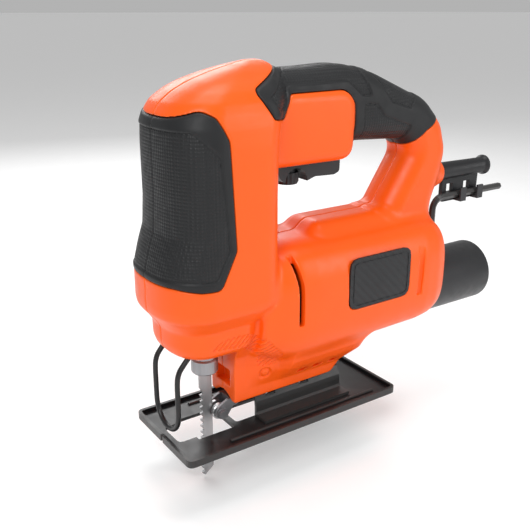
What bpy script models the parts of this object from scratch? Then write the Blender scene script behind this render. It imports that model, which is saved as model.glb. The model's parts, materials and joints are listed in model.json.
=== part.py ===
"""Corded jigsaw: a clamshell body, its motor and gear train, the reciprocating blade and the tilting shoe.

Lengths below are in millimetres and become metres where a mesh is made. The nose points along -X, the
blade's teeth face -X, +Z is up and z = 0 is the sole of the shoe. The clamshell halves meet at y = 0.
"""

import math

import bmesh
import bpy
from mathutils import Matrix, Vector

MM = 0.001

# --- fits ---------------------------------------------------------------------------------------
GAP = 0.3
RUN = 0.06
SPLIT = 0.15
WALL = 2.6
GRIP_SKIN = 2.0
GRIP_DEPTH = GRIP_SKIN + 2.0 * GAP
GRIP_WALL = GRIP_DEPTH + 2.1

# --- body ---------------------------------------------------------------------------------------
HEAD_HALF_WIDTH = 33.0
BARREL_HALF_WIDTH = 34.5
HANDLE_HALF_WIDTH = 16.5
BULGE_HALF_WIDTH = 20.0
FOOT_HALF_WIDTH = 13.0
FOOT_BOTTOM = 17.0
FOOT_FRONT = 8.0

# --- motor and gear train -----------------------------------------------------------------------
MOTOR_Z = 74.0
SHAFT_RADIUS = 3.5
MODULE = 0.7
PINION_TEETH = 10
GEAR_TEETH = 60
BACKLASH = 0.16
GEAR_X = 10.0
GEAR_WIDTH = 5.0
SPINDLE_RADIUS = 3.0
CRANK_RADIUS = 8.0
CRANK_PIN_RADIUS = 2.8
CARRIER_X = 19.0
CARRIER_THICKNESS = 3.5
BEARING_RADIUS = 9.5
BEARING_WIDTH = 6.0
REAR_BEARING_X = 128.0
STATOR_X = 60.0
STATOR_LENGTH = 35.0
STATOR_RADIUS = 27.5
ARMATURE_RADIUS = 13.7
FAN_RADIUS = 28.0
FAN_X = 33.0
COMMUTATOR_X = 104.0
COMMUTATOR_RADIUS = 9.5
BRUSH_X = 112.0

# --- plunger, blade and collar ------------------------------------------------------------------
PLUNGER_X = -4.0
PLUNGER_RADIUS = 4.75
PLUNGER_BOTTOM = 39.0
PLUNGER_TOP = 135.0
COLLAR_RADIUS = 7.75
COLLAR_BOTTOM = 36.5
COLLAR_TOP = 56.0
BLADE_WIDTH = 8.0
BLADE_THICKNESS = 1.2
BLADE_DROP = 32.6
TOOTH_PITCH = 4.0
BUSH_RADIUS = 8.0
LOWER_BUSH_Z = 75.0
UPPER_BUSH_Z = 120.0
BUSH_LENGTH = 7.5

# --- shoe ---------------------------------------------------------------------------------------
SHOE_FRONT = -33.3
SHOE_LENGTH = 150.3
SHOE_WIDTH = 66.0
SHOE_SHEET = 2.0
SHOE_RIM = 4.2
TILT_Z = 9.0
ARCH_RADIUS = 11.2
ARCH_SHEET = 1.8
ARCH_FRONT = 24.0
ARCH_REAR = 88.0
CLAMP_X = (35.0, 60.0)
CLAMP_SCREW_RADIUS = 2.4
SLOT_WIDTH = 7.0
SLOT_ANGLE = 66.0

# --- blade support ------------------------------------------------------------------------------
ROLLER_Z = 9.0
ROLLER_FLANGE_RADIUS = 5.0
ROLLER_GROOVE_RADIUS = 3.3
ROLLER_HALF_WIDTH = 3.6
ROLLER_PIN_RADIUS = 2.0
ROLLER_X = ROLLER_GROOVE_RADIUS + GAP
WIRE_RADIUS = 1.5
WIRE_HALF_SPAN = 13.2
WIRE_X = -28.6

# --- controls, cord sleeve and dust outlet ------------------------------------------------------
TRIGGER_HALF_WIDTH = 8.5
TRIGGER_TRAVEL = 5.0
DIAL_X = 53.0
DIAL_RADIUS = 6.6
LOCK_X = 70.0
LOCK_Z = 174.0
LOCK_RADIUS = 4.8
SLEEVE_Z = 130.5
SLEEVE_END = 221.6
KEY_FLATS = 4.0
KEY_Y = -3.9
KEY_Z = 114.2
DUST_Z = 55.5
DUST_RADIUS = 20.6
DUST_END = 214.6
SPIGOT_RADIUS = 16.0

BADGE = (73.5, 121.0, 67.0, 98.0)
BADGE_THICKNESS = 1.2
BADGE_FACE = BARREL_HALF_WIDTH + 0.1

# Housing screws, as (x, z) of each axis. All of them go in from the right side.
SCREWS = ((9.0, 187.0), (-25.0, 90.0), (33.0, 167.0), (150.0, 140.0), (146.0, 48.0), (90.0, 38.0))
SCREW_RADIUS = 1.9
SCREW_HEAD_RADIUS = 3.4
SCREW_SEAT = 9.0
BOSS_RADIUS = 4.6

ROUND = 24
SMALL_ROUND = 16


# --- scene and materials ------------------------------------------------------------------------
for stale in list(bpy.data.objects):
    bpy.data.objects.remove(stale)

parts = bpy.data.collections.new("jigsaw")
tools = bpy.data.collections.new("jigsaw_cutters")
bpy.context.scene.collection.children.link(parts)
bpy.context.scene.collection.children.link(tools)
tools.hide_render = True


def material(name, colour, roughness, metallic=0.0):
    made = bpy.data.materials.new(name)
    made.use_nodes = True
    shader = made.node_tree.nodes["Principled BSDF"]
    shader.inputs["Base Color"].default_value = (*colour, 1.0)
    shader.inputs["Roughness"].default_value = roughness
    shader.inputs["Metallic"].default_value = metallic
    return made


ORANGE = material("orange_shell", (0.95, 0.17, 0.03), 0.38)
RUBBER = material("black_rubber", (0.03, 0.03, 0.03), 0.75)
BLACK_PLASTIC = material("black_plastic", (0.025, 0.025, 0.027), 0.45)
BLACK_STEEL = material("black_steel", (0.02, 0.02, 0.022), 0.4, 0.6)
STEEL = material("bright_steel", (0.62, 0.62, 0.63), 0.32, 1.0)
ZINC = material("zinc_casting", (0.52, 0.52, 0.53), 0.42, 1.0)
BLADE_STEEL = material("blade_steel", (0.55, 0.53, 0.52), 0.3, 1.0)
GEAR_STEEL = material("gear_steel", (0.38, 0.37, 0.36), 0.4, 1.0)
COPPER = material("copper", (0.75, 0.34, 0.16), 0.35, 1.0)
BRASS = material("brass", (0.78, 0.58, 0.25), 0.35, 1.0)
CARBON = material("carbon", (0.05, 0.05, 0.05), 0.8)
LAMINATION = material("lamination", (0.3, 0.3, 0.32), 0.5, 1.0)
FAN_PLASTIC = material("fan_plastic", (0.12, 0.12, 0.13), 0.5)
CAPACITOR_BLUE = material("capacitor_case", (0.1, 0.25, 0.5), 0.45)


# --- geometry helpers ---------------------------------------------------------------------------
def solid(name, points, faces, collection=tools):
    """A closed mesh object from points in millimetres, with its faces turned outward."""
    mesh = bpy.data.meshes.new(name)
    mesh.from_pydata([Vector(point) * MM for point in points], [], faces)
    outward(mesh)
    made = bpy.data.objects.new(name, mesh)
    collection.objects.link(made)
    return made


FLATNESS = math.radians(0.02)


def outward(mesh):
    """Merges shared points, splits faces that aren't flat and turns every face outward."""
    work = bmesh.new()
    work.from_mesh(mesh)
    bmesh.ops.remove_doubles(work, verts=work.verts, dist=0.00001)
    bmesh.ops.connect_verts_nonplanar(work, angle_limit=FLATNESS, faces=work.faces)
    bmesh.ops.recalc_face_normals(work, faces=work.faces)
    work.to_mesh(mesh)
    work.free()


def realised(source):
    """The evaluated mesh of an object, in world space, as a plain object of the same name."""
    bpy.context.view_layer.update()
    graph = bpy.context.evaluated_depsgraph_get()
    mesh = bpy.data.meshes.new_from_object(source.evaluated_get(graph))
    mesh.transform(source.matrix_world)
    name = source.name
    bpy.data.objects.remove(source)
    made = bpy.data.objects.new(name, mesh)
    tools.objects.link(made)
    return made


def duplicate(source, name):
    made = source.copy()
    made.data = source.data.copy()
    made.name = name
    tools.objects.link(made)
    return made


def boolean(base, others, operation, keep=False):
    """Joins, cuts or intersects base with each other solid in turn, and returns the new solid."""
    for other in others:
        modifier = base.modifiers.new(operation.lower(), "BOOLEAN")
        modifier.operation = operation
        modifier.solver = "EXACT"
        modifier.object = other
        base = realised(base)
        if not keep:
            bpy.data.objects.remove(other)
    return base


def cut(base, *others, keep=False):
    return boolean(base, others, "DIFFERENCE", keep)


def join(base, *others, keep=False):
    return boolean(base, others, "UNION", keep)


def common(base, *others, keep=False):
    return boolean(base, others, "INTERSECT", keep)


def finish(made, name, look, smooth_angle=35.0):
    """Names a finished solid, gives it its material and puts it among the parts."""
    without_slivers(made)
    made.name = name
    made.data.name = name
    for owner in list(made.users_collection):
        owner.objects.unlink(made)
    parts.objects.link(made)
    made.data.materials.clear()
    made.data.materials.append(look)
    made.data.shade_smooth()
    made.data.set_sharp_from_angle(angle=math.radians(smooth_angle))
    return made


THIN = 0.00001
FLIP_ROUNDS = 12


def thinness(face):
    """Twice a triangle's area over its longest side: its height."""
    longest = max(edge.calc_length() for edge in face.edges)
    return 2.0 * face.calc_area() / longest


def without_slivers(made):
    """Triangulates a solid and turns the edges of triangles that are too thin to be faces."""
    work = bmesh.new()
    work.from_mesh(made.data)
    bmesh.ops.remove_doubles(work, verts=work.verts, dist=0.5 * THIN)
    bmesh.ops.triangulate(work, faces=work.faces, quad_method="BEAUTY", ngon_method="EAR_CLIP")
    for _ in range(FLIP_ROUNDS):
        thin = [face for face in work.faces if thinness(face) < THIN]
        if not thin:
            break
        edges = []
        touched = set()
        for face in thin:
            edge = max(face.edges, key=lambda side: side.calc_length())
            if not touched & set(edge.link_faces):
                touched |= set(edge.link_faces)
                edges.append(edge)
        bmesh.ops.rotate_edges(work, edges=edges, use_ccw=True)
    thin = [face for face in work.faces if thinness(face) < THIN]
    short = {min(face.edges, key=lambda side: side.calc_length()) for face in thin}
    bmesh.ops.collapse(work, edges=list(short))
    if all(len(edge.link_faces) == 2 for edge in work.edges):
        work.to_mesh(made.data)
    work.free()
    return made


def largest_island(made):
    """Drops the slivers that a cut leaves beside the main body of a solid."""
    work = bmesh.new()
    work.from_mesh(made.data)
    left = set(work.faces)
    islands = []
    while left:
        island = {left.pop()}
        front = list(island)
        while front:
            for edge in front.pop().edges:
                for face in edge.link_faces:
                    if face in left:
                        left.discard(face)
                        island.add(face)
                        front.append(face)
        islands.append(island)
    islands.sort(key=lambda island: sum(face.calc_area() for face in island))
    loose = [face for island in islands[:-1] for face in island]
    bmesh.ops.delete(work, geom=loose, context="FACES")
    work.to_mesh(made.data)
    work.free()
    return made


def hinged(made, x, y, z):
    """Moves an object's origin to a point without moving its mesh."""
    pivot = Vector((x, y, z)) * MM
    made.data.transform(Matrix.Translation(-pivot))
    made.location = pivot
    return made


def loft(name, rings):
    """A skin over rings of equal length, closed at both ends."""
    count = len(rings[0])
    points = [point for ring in rings for point in ring]
    faces = [tuple(range(count)), tuple(range(len(points) - count, len(points)))]
    for level in range(len(rings) - 1):
        for step in range(count):
            first = level * count + step
            second = level * count + (step + 1) % count
            faces.append((first, second, second + count, first + count))
    return solid(name, points, faces)


def prism(name, outline, low, high, axis="y"):
    """A flat outline extruded from low to high. Its points are (x, z), (x, y) or (y, z)."""
    place = {
        "x": lambda point, level: (level, point[0], point[1]),
        "y": lambda point, level: (point[0], level, point[1]),
        "z": lambda point, level: (point[0], point[1], level),
    }[axis]
    return loft(name, [[place(point, level) for point in outline] for level in (low, high)])


def box(name, low, high):
    corners = ((low[0], low[1]), (high[0], low[1]), (high[0], high[1]), (low[0], high[1]))
    return prism(name, corners, low[2], high[2], "z")


def circle(radius, count, centre=(0.0, 0.0), turn=0.0):
    angles = [turn + math.tau * step / count for step in range(count)]
    return [(centre[0] + radius * math.cos(a), centre[1] + radius * math.sin(a)) for a in angles]


def rod(name, radius, low, high, axis, centre, count=SMALL_ROUND, turn=None):
    """A round bar. Half a step of turn keeps its corners off the joint plane."""
    if turn is None:
        turn = math.pi / count
    return prism(name, circle(radius, count, centre, turn), low, high, axis)


def turned(name, profile, axis, centre, steps=ROUND):
    """A turned part: (radius, height) points down the outer side, then up the bore if there is one."""
    hollow = min(radius for radius, height in profile) > 0.0
    mesh = bpy.data.meshes.new(name)
    edges = [(index, index + 1) for index in range(len(profile) - 1)]
    if hollow:
        edges.append((len(profile) - 1, 0))
    mesh.from_pydata([(radius * MM, 0.0, height * MM) for radius, height in profile], edges, [])
    made = bpy.data.objects.new(name, mesh)
    tools.objects.link(made)
    screw = made.modifiers.new("turn", "SCREW")
    screw.steps = steps
    screw.render_steps = steps
    screw.use_merge_vertices = True
    screw.merge_threshold = 0.00001
    made.rotation_euler = {
        "x": (0.0, math.radians(90.0), 0.0),
        "y": (math.radians(-90.0), 0.0, 0.0),
        "z": (0.0, 0.0, 0.0),
    }[axis]
    made.location = Vector(centre) * MM
    made = realised(made)
    outward(made.data)
    return made


def wire(name, points, radius, cyclic=False, sides=3):
    """A round bar along a path of points, with flat closed ends."""
    curve = bpy.data.curves.new(name, "CURVE")
    curve.dimensions = "3D"
    curve.bevel_depth = radius * MM
    curve.bevel_resolution = sides
    curve.use_fill_caps = not cyclic
    spline = curve.splines.new("POLY")
    spline.points.add(len(points) - 1)
    for target, point in zip(spline.points, points):
        target.co = (point[0] * MM, point[1] * MM, point[2] * MM, 1.0)
    spline.use_cyclic_u = cyclic
    made = bpy.data.objects.new(name, curve)
    tools.objects.link(made)
    made = realised(made)
    outward(made.data)
    return made


def rounded(corners, radius, steps=4):
    """The outline with each corner replaced by an arc. A corner may carry its own radius as a third value."""
    outline = []
    count = len(corners)
    for index, corner in enumerate(corners):
        here = Vector(corner[:2])
        size = corner[2] if len(corner) > 2 else radius
        back = Vector(corners[index - 1][:2]) - here
        ahead = Vector(corners[(index + 1) % count][:2]) - here
        if size <= 0.0:
            outline.append(tuple(here))
            continue
        opening = back.angle(ahead)
        reach = min(size / math.tan(opening / 2.0), 0.49 * back.length, 0.49 * ahead.length)
        start = here + back.normalized() * reach
        end = here + ahead.normalized() * reach
        for step in range(steps + 1):
            t = step / steps
            outline.append(tuple(start * (1 - t) ** 2 + here * 2 * t * (1 - t) + end * t**2))
    return outline


def area(outline):
    pairs = zip(outline, outline[1:] + outline[:1])
    return 0.5 * sum(a[0] * b[1] - b[0] * a[1] for a, b in pairs)


TOUCHING = 0.002
STRIDE = 0.7


def neighbour(points, index, turn):
    """The nearest point before or after this one that isn't in the same place."""
    count = len(points)
    for reach in range(1, count):
        other = points[(index + turn * reach) % count]
        if (other - points[index]).length > TOUCHING:
            return other
    return points[index]


def inset(outline, distance):
    """The outline moved inward by a distance, or outward where it is negative, in short strides.

    The number of points stays the same: where a corner closes up, its points come to share a place.
    """
    side = 1.0 if area(outline) > 0.0 else -1.0
    points = [Vector(point[:2]) for point in outline]
    count = len(points)
    strides = max(1, math.ceil(abs(distance) / STRIDE))
    for _ in range(strides):
        moved = []
        for index, here in enumerate(points):
            back = (here - neighbour(points, index, -1)).normalized()
            ahead = (neighbour(points, index, 1) - here).normalized()
            across = Vector((-ahead.y, ahead.x)) * side
            normal = Vector((-(back.y + ahead.y), back.x + ahead.x)) * side
            normal = normal.normalized() if normal.length > TOUCHING else across
            moved.append(here + normal * distance / strides / max(normal.dot(across), 0.4))
        for index in range(count):
            after = (index + 1) % count
            old = points[after] - points[index]
            if old.length > TOUCHING and (moved[after] - moved[index]).dot(old) <= 0.0:
                meeting = 0.5 * (moved[after] + moved[index])
                for other in range(count):
                    near = min((points[other] - points[index]).length, (points[other] - points[after]).length)
                    if near <= TOUCHING:
                        moved[other] = meeting
        points = moved
    return [tuple(point) for point in points]


def pillow(name, outline, half_width, edge, rings=4):
    """An outline in (x, z) made half_width deep on each side of y = 0, with its edges rounded."""
    layers = []
    for step in range(rings + 1):
        angle = math.radians(90.0 * step / rings)
        layers.append((half_width - edge + edge * math.sin(angle), edge * (1.0 - math.cos(angle))))
    sections = [(-y, depth) for y, depth in reversed(layers)] + layers
    return loft(name, [[(x, y, z) for x, z in inset(outline, depth)] for y, depth in sections])


# --- outer body, as lofts that take a wall inset ------------------------------------------------
# Horizontal sections of the head as (z, front x, rear x, share of the half width).
HEAD_LEVELS = (
    (53.2, -20.0, 14.0, 0.52),
    (54.6, -25.0, 16.0, 0.64),
    (57.5, -28.5, 17.0, 0.71),
    (62.0, -29.9, 18.0, 0.74),
    (71.0, -30.0, 19.0, 0.76),
    (76.0, -33.0, 22.0, 0.87),
    (81.0, -37.2, 26.0, 0.98),
    (85.0, -37.7, 28.0, 1.0),
    (104.0, -37.5, 28.0, 1.0),
    (114.0, -34.8, 28.0, 1.0),
    (124.0, -31.4, 28.0, 1.0),
    (140.0, -30.3, 28.0, 1.0),
    (168.0, -30.3, 28.5, 1.0),
    (178.0, -30.0, 30.0, 0.98),
    (184.0, -28.1, 32.0, 0.925),
    (189.5, -24.5, 34.0, 0.85),
    (194.5, -17.5, 35.5, 0.74),
    (198.5, -9.0, 36.5, 0.62),
    (202.5, 3.5, 37.0, 0.45),
    (205.4, 15.0, 36.5, 0.27),
    (206.6, 22.0, 34.0, 0.14),
)
NOSE_DEPTH = 26.0
NOSE_POWER = 2.5
HEAD_CORNER = 11.0
NOSE_STEPS = 5
INNER_NOSE_STEPS = 3


def head_section(z, front, rear, half_width, steps):
    """One horizontal section: a blunt rounded nose, straight sides and rounded rear corners."""
    depth = min(NOSE_DEPTH, 0.8 * half_width, 0.55 * (rear - front))
    corner = min(HEAD_CORNER, 0.6 * half_width, 0.3 * (rear - front))
    side = []
    for step in range(steps + 1):
        y = half_width * math.sin(math.radians(90.0 * step / steps))
        bend = (1.0 - (y / half_width) ** NOSE_POWER) ** (1.0 / NOSE_POWER)
        side.append((front + depth * (1.0 - bend), y))
    corner_steps = steps // 2
    for step in range(corner_steps + 1):
        angle = math.radians(90.0 * step / corner_steps)
        x = rear - corner + corner * math.sin(angle)
        side.append((x, half_width - corner + corner * math.cos(angle)))
    side.append((rear, 0.0))
    mirrored = [(x, -y) for x, y in reversed(side[1:-1])]
    return [(x, y, z) for x, y in side + mirrored]


def head(name, wall=0.0):
    low = HEAD_LEVELS[0][0]
    high = HEAD_LEVELS[-1][0]
    middle = 0.5 * (low + high)
    shrink = 1.0 - wall / (middle - low)
    rings = []
    for z, front, rear, share in HEAD_LEVELS:
        half_width = max(share * HEAD_HALF_WIDTH - wall, 1.0)
        level = middle + (z - middle) * shrink
        steps = NOSE_STEPS if wall == 0.0 else INNER_NOSE_STEPS
        rings.append(head_section(level, front + wall, rear - wall, half_width, steps))
    return loft(name, rings)


# Sections across the motor barrel as (x, share of the half width, bottom z, top z).
BARREL_LEVELS = (
    (20.0, 0.84, 45.0, 103.0),
    (32.0, 0.94, 40.0, 108.5),
    (42.0, 0.985, 38.0, 110.3),
    (52.0, 1.0, 37.6, 110.6),
    (138.0, 1.0, 39.2, 110.2),
    (148.0, 0.96, 40.4, 109.2),
    (156.0, 0.86, 42.6, 106.2),
    (162.0, 0.7, 46.0, 101.5),
    (165.0, 0.5, 51.0, 95.0),
)
BARREL_POWER = 3.2
BARREL_POINTS = 24
INNER_BARREL_POINTS = 12


def barrel_section(x, half_width, low, high, count):
    half_height = 0.5 * (high - low)
    middle = 0.5 * (high + low)
    ring = []
    for step in range(count):
        angle = math.tau * (step + 0.5) / count
        c, s = math.cos(angle), math.sin(angle)
        size = (abs(c) ** BARREL_POWER + abs(s) ** BARREL_POWER) ** (-1.0 / BARREL_POWER)
        ring.append((x, half_width * size * c, middle + half_height * size * s))
    return ring


def barrel(name, wall=0.0):
    low = BARREL_LEVELS[0][0]
    high = BARREL_LEVELS[-1][0]
    middle = 0.5 * (low + high)
    shrink = 1.0 - wall / (middle - low)
    rings = []
    for x, share, bottom, top in BARREL_LEVELS:
        level = middle + (x - middle) * shrink
        half_width = share * BARREL_HALF_WIDTH - wall
        count = BARREL_POINTS if wall <= 0.0 else INNER_BARREL_POINTS
        rings.append(barrel_section(level, half_width, bottom + wall, top - wall, count))
    return loft(name, rings)


# Faceted horizontal sections of the foot: (z, rear x, half width at the front, share of the full width).
FOOT_LEVELS = (
    (FOOT_BOTTOM, 87.5, FOOT_HALF_WIDTH, 0.0),
    (24.0, 94.0, FOOT_HALF_WIDTH, 0.03),
    (33.0, 103.5, FOOT_HALF_WIDTH, 0.45),
    (38.0, 104.0, FOOT_HALF_WIDTH, 0.6),
    (46.0, 110.0, FOOT_HALF_WIDTH + 1.0, 0.75),
    (58.0, 112.0, FOOT_HALF_WIDTH + 7.0, 0.9),
    (70.0, 112.0, FOOT_HALF_WIDTH + 9.0, 0.95),
)
FOOT_FULL_WIDTH = 31.5


def foot(name, wall=0.0):
    rings = []
    for index, (z, rear, front_half, share) in enumerate(FOOT_LEVELS):
        level = z + (wall if index == 0 else -wall if index == len(FOOT_LEVELS) - 1 else 0.0)
        near = front_half - wall
        wide = FOOT_HALF_WIDTH + share * (FOOT_FULL_WIDTH - FOOT_HALF_WIDTH) - wall
        front = FOOT_FRONT + wall
        back = rear - wall
        side = (
            (front, near - 1.5),
            (front + 1.5, near),
            (front + 7.0, near),
            (front + 24.0, wide),
            (back - 9.0, wide),
            (back, 0.7 * wide),
        )
        ring = [(x, y, level) for x, y in side]
        ring += [(x, -y, level) for x, y in reversed(side)]
        rings.append(ring)
    return loft(name, rings)


HANDLE_OUTLINE = rounded(
    (
        (18.0, 202.6, 14.0),
        (58.0, 203.4, 60.0),
        (84.0, 204.6, 60.0),
        (108.0, 198.6, 60.0),
        (150.0, 181.0, 30.0),
        (165.0, 166.0, 20.0),
        (170.8, 148.0, 22.0),
        (167.0, 133.0, 20.0),
        (160.5, 114.0, 20.0),
        (162.5, 78.0, 16.0),
        (106.0, 78.0, 16.0),
        (112.0, 116.6, 0.0),
        (117.5, 117.2, 12.0),
        (138.8, 149.0, 10.0),
        (134.0, 157.2, 10.0),
        (112.0, 158.5, 8.0),
        (86.0, 160.0),
        (18.0, 160.0, 16.0),
    ),
    8.0,
    2,
)
BULGE_OUTLINE = rounded(((22.0, 152.0, 0.0), (87.0, 151.6), (88.0, 191.5, 13.0), (22.0, 192.0, 0.0)), 10.0)
CREST_OUTLINE = rounded(((54.0, 94.0), (62.5, 116.6, 9.0), (122.0, 116.6, 9.0), (134.0, 94.0)), 8.0)
CORD_BOSS = ((0.0, 13.0), (6.0, 13.0), (8.6, 10.5), (10.2, 5.0), (13.0, -8.0), (0.0, -8.0))
HANDLE_EDGE = 13.0


def handle(name, wall=0.0):
    outline = inset(HANDLE_OUTLINE, wall)
    rings = 4 if wall == 0.0 else 2
    return pillow(name, outline, HANDLE_HALF_WIDTH - wall, HANDLE_EDGE - wall, rings)


def bulge(name, wall=0.0):
    rings = 3 if wall == 0.0 else 2
    return pillow(name, inset(BULGE_OUTLINE, wall), BULGE_HALF_WIDTH - wall, 7.0 - wall, rings)


def crest(name):
    return pillow(name, CREST_OUTLINE, 13.0, 5.0, 3)


boss_x = 163.0
outer = join(
    head("body"),
    barrel("barrel"),
    handle("handle"),
    bulge("bulge"),
    crest("crest"),
    foot("foot"),
    turned("cord_boss", [(r, h) for r, h in CORD_BOSS], "x", (boss_x, 0.0, SLEEVE_Z + 0.5), 24),
)

# --- soft grips: a skin of constant thickness over the body, inside a side outline ---------------
FRONT_GRIP = rounded(
    (
        (-48.0, 182.0, 0.0),
        (-31.0, 182.0),
        (-17.0, 187.0, 6.0),
        (-10.5, 183.5, 5.0),
        (-4.8, 172.5, 6.0),
        (-1.6, 117.0, 6.0),
        (-11.0, 97.6, 5.0),
        (-22.0, 98.0),
        (-33.0, 100.0),
        (-48.0, 100.0, 0.0),
    ),
    4.0,
    2,
)
HANDLE_GRIP = rounded(
    (
        (41.0, 220.0, 0.0),
        (40.0, 205.5),
        (14.5, 194.5, 3.0),
        (22.5, 180.5, 2.0),
        (36.0, 178.0, 2.0),
        (41.5, 190.6, 4.0),
        (80.0, 190.8, 9.0),
        (87.5, 183.0, 4.0),
        (88.6, 166.0, 4.0),
        (88.6, 140.0, 0.0),
        (134.0, 140.0, 0.0),
        (136.0, 149.0, 3.0),
        (147.0, 162.0, 6.0),
        (163.5, 171.0, 4.0),
        (180.0, 180.0, 0.0),
        (180.0, 220.0, 0.0),
    ),
    4.0,
    2,
)
REACH = 60.0


def core(shapes, depth):
    """The body's own shapes, all drawn in by the same depth, as one solid."""
    return join(*[shape("core", depth) for shape in shapes])


def grip(name, outline, shapes):
    """The body inside the outline, less everything deeper than the grip's own thickness."""
    block = common(prism(name, outline, -REACH, REACH), outer, keep=True)
    return cut(block, core(shapes, GRIP_SKIN))


def grip_pocket(name, outline, shapes):
    """The room for a grip: its outline with a gap round it, down to a clearance below its underside."""
    return cut(prism(name, inset(outline, -GAP), -REACH, REACH), core(shapes, GRIP_DEPTH))


def half(source, name, side):
    """The part of a solid on one side of the joint line: -1 is the left half, 1 is the right."""
    limits = sorted((side * SPLIT, side * 100.0))
    keeper = box("keeper", (-100.0, limits[0], -100.0), (300.0, limits[1], 300.0))
    return largest_island(common(duplicate(source, name), keeper))


front_grip = grip("front_grip", FRONT_GRIP, (head,))
handle_grip = grip("handle_grip", HANDLE_GRIP, (head, handle, bulge))
for label, side in (("left", -1), ("right", 1)):
    finish(half(front_grip, f"front_grip_{label}", side), f"front_grip_{label}", RUBBER)
    finish(half(handle_grip, f"handle_grip_{label}", side), f"handle_grip_{label}", RUBBER)
bpy.data.objects.remove(front_grip)
bpy.data.objects.remove(handle_grip)

# --- inside of the body: a cavity less its ribs and bosses ---------------------------------------
gear_z = MOTOR_Z + 0.5 * MODULE * (PINION_TEETH + GEAR_TEETH)
cavity = join(
    head("cavity", GRIP_WALL),
    barrel("barrel_cavity", WALL),
    handle("handle_cavity", GRIP_WALL),
    bulge("bulge_cavity", GRIP_WALL),
    foot("foot_cavity", WALL),
)
arch_clear = ARCH_RADIUS + GAP
duct_floor = TILT_Z + arch_clear + WALL
ribs = [
    box("duct_floor", (-10.0, -40.0, 0.0), (99.0, 40.0, duct_floor)),
    box("carrier_rib", (CARRIER_X - 1.6, -40.0, 50.0), (CARRIER_X + CARRIER_THICKNESS + 1.6, 40.0, 135.0)),
    box("stator_rib_front", (STATOR_X + 3.0, -40.0, 36.0), (STATOR_X + 5.6, 40.0, 112.0)),
    box("stator_rib_rear", (STATOR_X + 28.0, -40.0, 36.0), (STATOR_X + 30.6, 40.0, 112.0)),
    box("bearing_rib", (REAR_BEARING_X - 2.0, -40.0, 36.0), (REAR_BEARING_X + 8.0, 40.0, 98.0)),
    box("lower_bush_rib", (-40.0, -14.0, LOWER_BUSH_Z + 1.5), (7.5, 14.0, LOWER_BUSH_Z + 5.5)),
    box("upper_bush_rib", (-40.0, -40.0, UPPER_BUSH_Z + 1.5), (6.0, 40.0, UPPER_BUSH_Z + 5.5)),
    box("switch_rib", (84.6, -40.0, 150.0), (87.2, 40.0, 215.0)),
]
for x in CLAMP_X:
    ribs.append(rod("clamp_boss", 5.2, duct_floor - 1.0, 35.2, "z", (x, 0.0)))
for x, z in SCREWS:
    ribs.append(rod("screw_boss", BOSS_RADIUS, -REACH, REACH, "y", (x, z), 10))
cavity = cut(cavity, *ribs)

carrier_z = (MOTOR_Z - 15.0, gear_z + 25.0)
carrier_half = 25.0
housing = cut(
    outer,
    cavity,
    grip_pocket("front_pocket", FRONT_GRIP, (head,)),
    grip_pocket("handle_pocket", HANDLE_GRIP, (head, handle, bulge)),
)
cutters = [
    # nose opening for the collar, and the plunger's way up through the bush rib
    rod("nose_hole", COLLAR_RADIUS + 0.7, 40.0, 62.0, "z", (PLUNGER_X, 0.0), ROUND),
    rod("lower_bush_seat", BUSH_RADIUS + GAP, LOWER_BUSH_Z - 2.0, 90.0, "z", (PLUNGER_X, 0.0), ROUND),
    rod("upper_bush_seat", BUSH_RADIUS + GAP, UPPER_BUSH_Z - 2.0, UPPER_BUSH_Z + 12.0, "z", (PLUNGER_X, 0.0), ROUND),
    # carrier plate in its groove
    box(
        "carrier_groove",
        (CARRIER_X - GAP, -carrier_half - GAP, carrier_z[0] - GAP),
        (CARRIER_X + CARRIER_THICKNESS + GAP, carrier_half + GAP, carrier_z[1] + GAP),
    ),
    box(
        "carrier_window",
        (CARRIER_X - 5.0, -carrier_half + 2.5, carrier_z[0] + 2.5),
        (CARRIER_X + 8.3, carrier_half - 2.5, carrier_z[1] - 2.5),
    ),
    # motor seats
    rod("stator_seat", STATOR_RADIUS + GAP, STATOR_X - 6.0, STATOR_X + STATOR_LENGTH + 4.0, "x", (0.0, MOTOR_Z), 32),
    rod(
        "bearing_seat",
        BEARING_RADIUS + GAP,
        REAR_BEARING_X - GAP,
        REAR_BEARING_X + BEARING_WIDTH + GAP,
        "x",
        (0.0, MOTOR_Z),
        ROUND,
    ),
    rod("shaft_way", SHAFT_RADIUS + 1.2, REAR_BEARING_X - 5.0, REAR_BEARING_X + 12.0, "x", (0.0, MOTOR_Z)),
    rod("pinion_way", 5.6, 6.0, 21.0, "x", (0.0, MOTOR_Z), 16),
    # cradle for the arch of the shoe
    rod("cradle", arch_clear, FOOT_FRONT - 20.0, 120.0, "x", (0.0, TILT_Z), ROUND),
    # dust duct: mouth behind the blade
    box("duct_mouth", (FOOT_FRONT - 2.0, -7.5, 26.0), (FOOT_FRONT + 6.0, 7.5, 36.0)),
    # dust spigot through the rear wall
    rod("spigot_hole", SPIGOT_RADIUS + GAP, 148.0, 180.0, "x", (0.0, DUST_Z), ROUND),
    # cord sleeve through its boss
    rod("sleeve_hole", 6.4 + GAP, 156.0, 185.0, "x", (0.0, SLEEVE_Z), 24),
    rod("sleeve_pocket", 9.0, 150.0, 159.4, "x", (0.0, SLEEVE_Z), 24),
    # trigger slot
    box(
        "trigger_slot",
        (38.6, -TRIGGER_HALF_WIDTH - GAP, 145.0),
        (85.3, TRIGGER_HALF_WIDTH + GAP, 168.0),
    ),
    # lock button
    rod("lock_hole", LOCK_RADIUS + GAP, 10.0, 40.0, "y", (LOCK_X, LOCK_Z), 18),
]
for x in CLAMP_X:
    cutters.append(rod("clamp_hole", CLAMP_SCREW_RADIUS + GAP, 10.0, 34.0, "z", (x, 0.0)))
cutters.append(rod("bracket_hole", 1.5 + GAP, 10.0, 30.5, "z", (FOOT_FRONT + 7.0, 0.0), 12))
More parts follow.
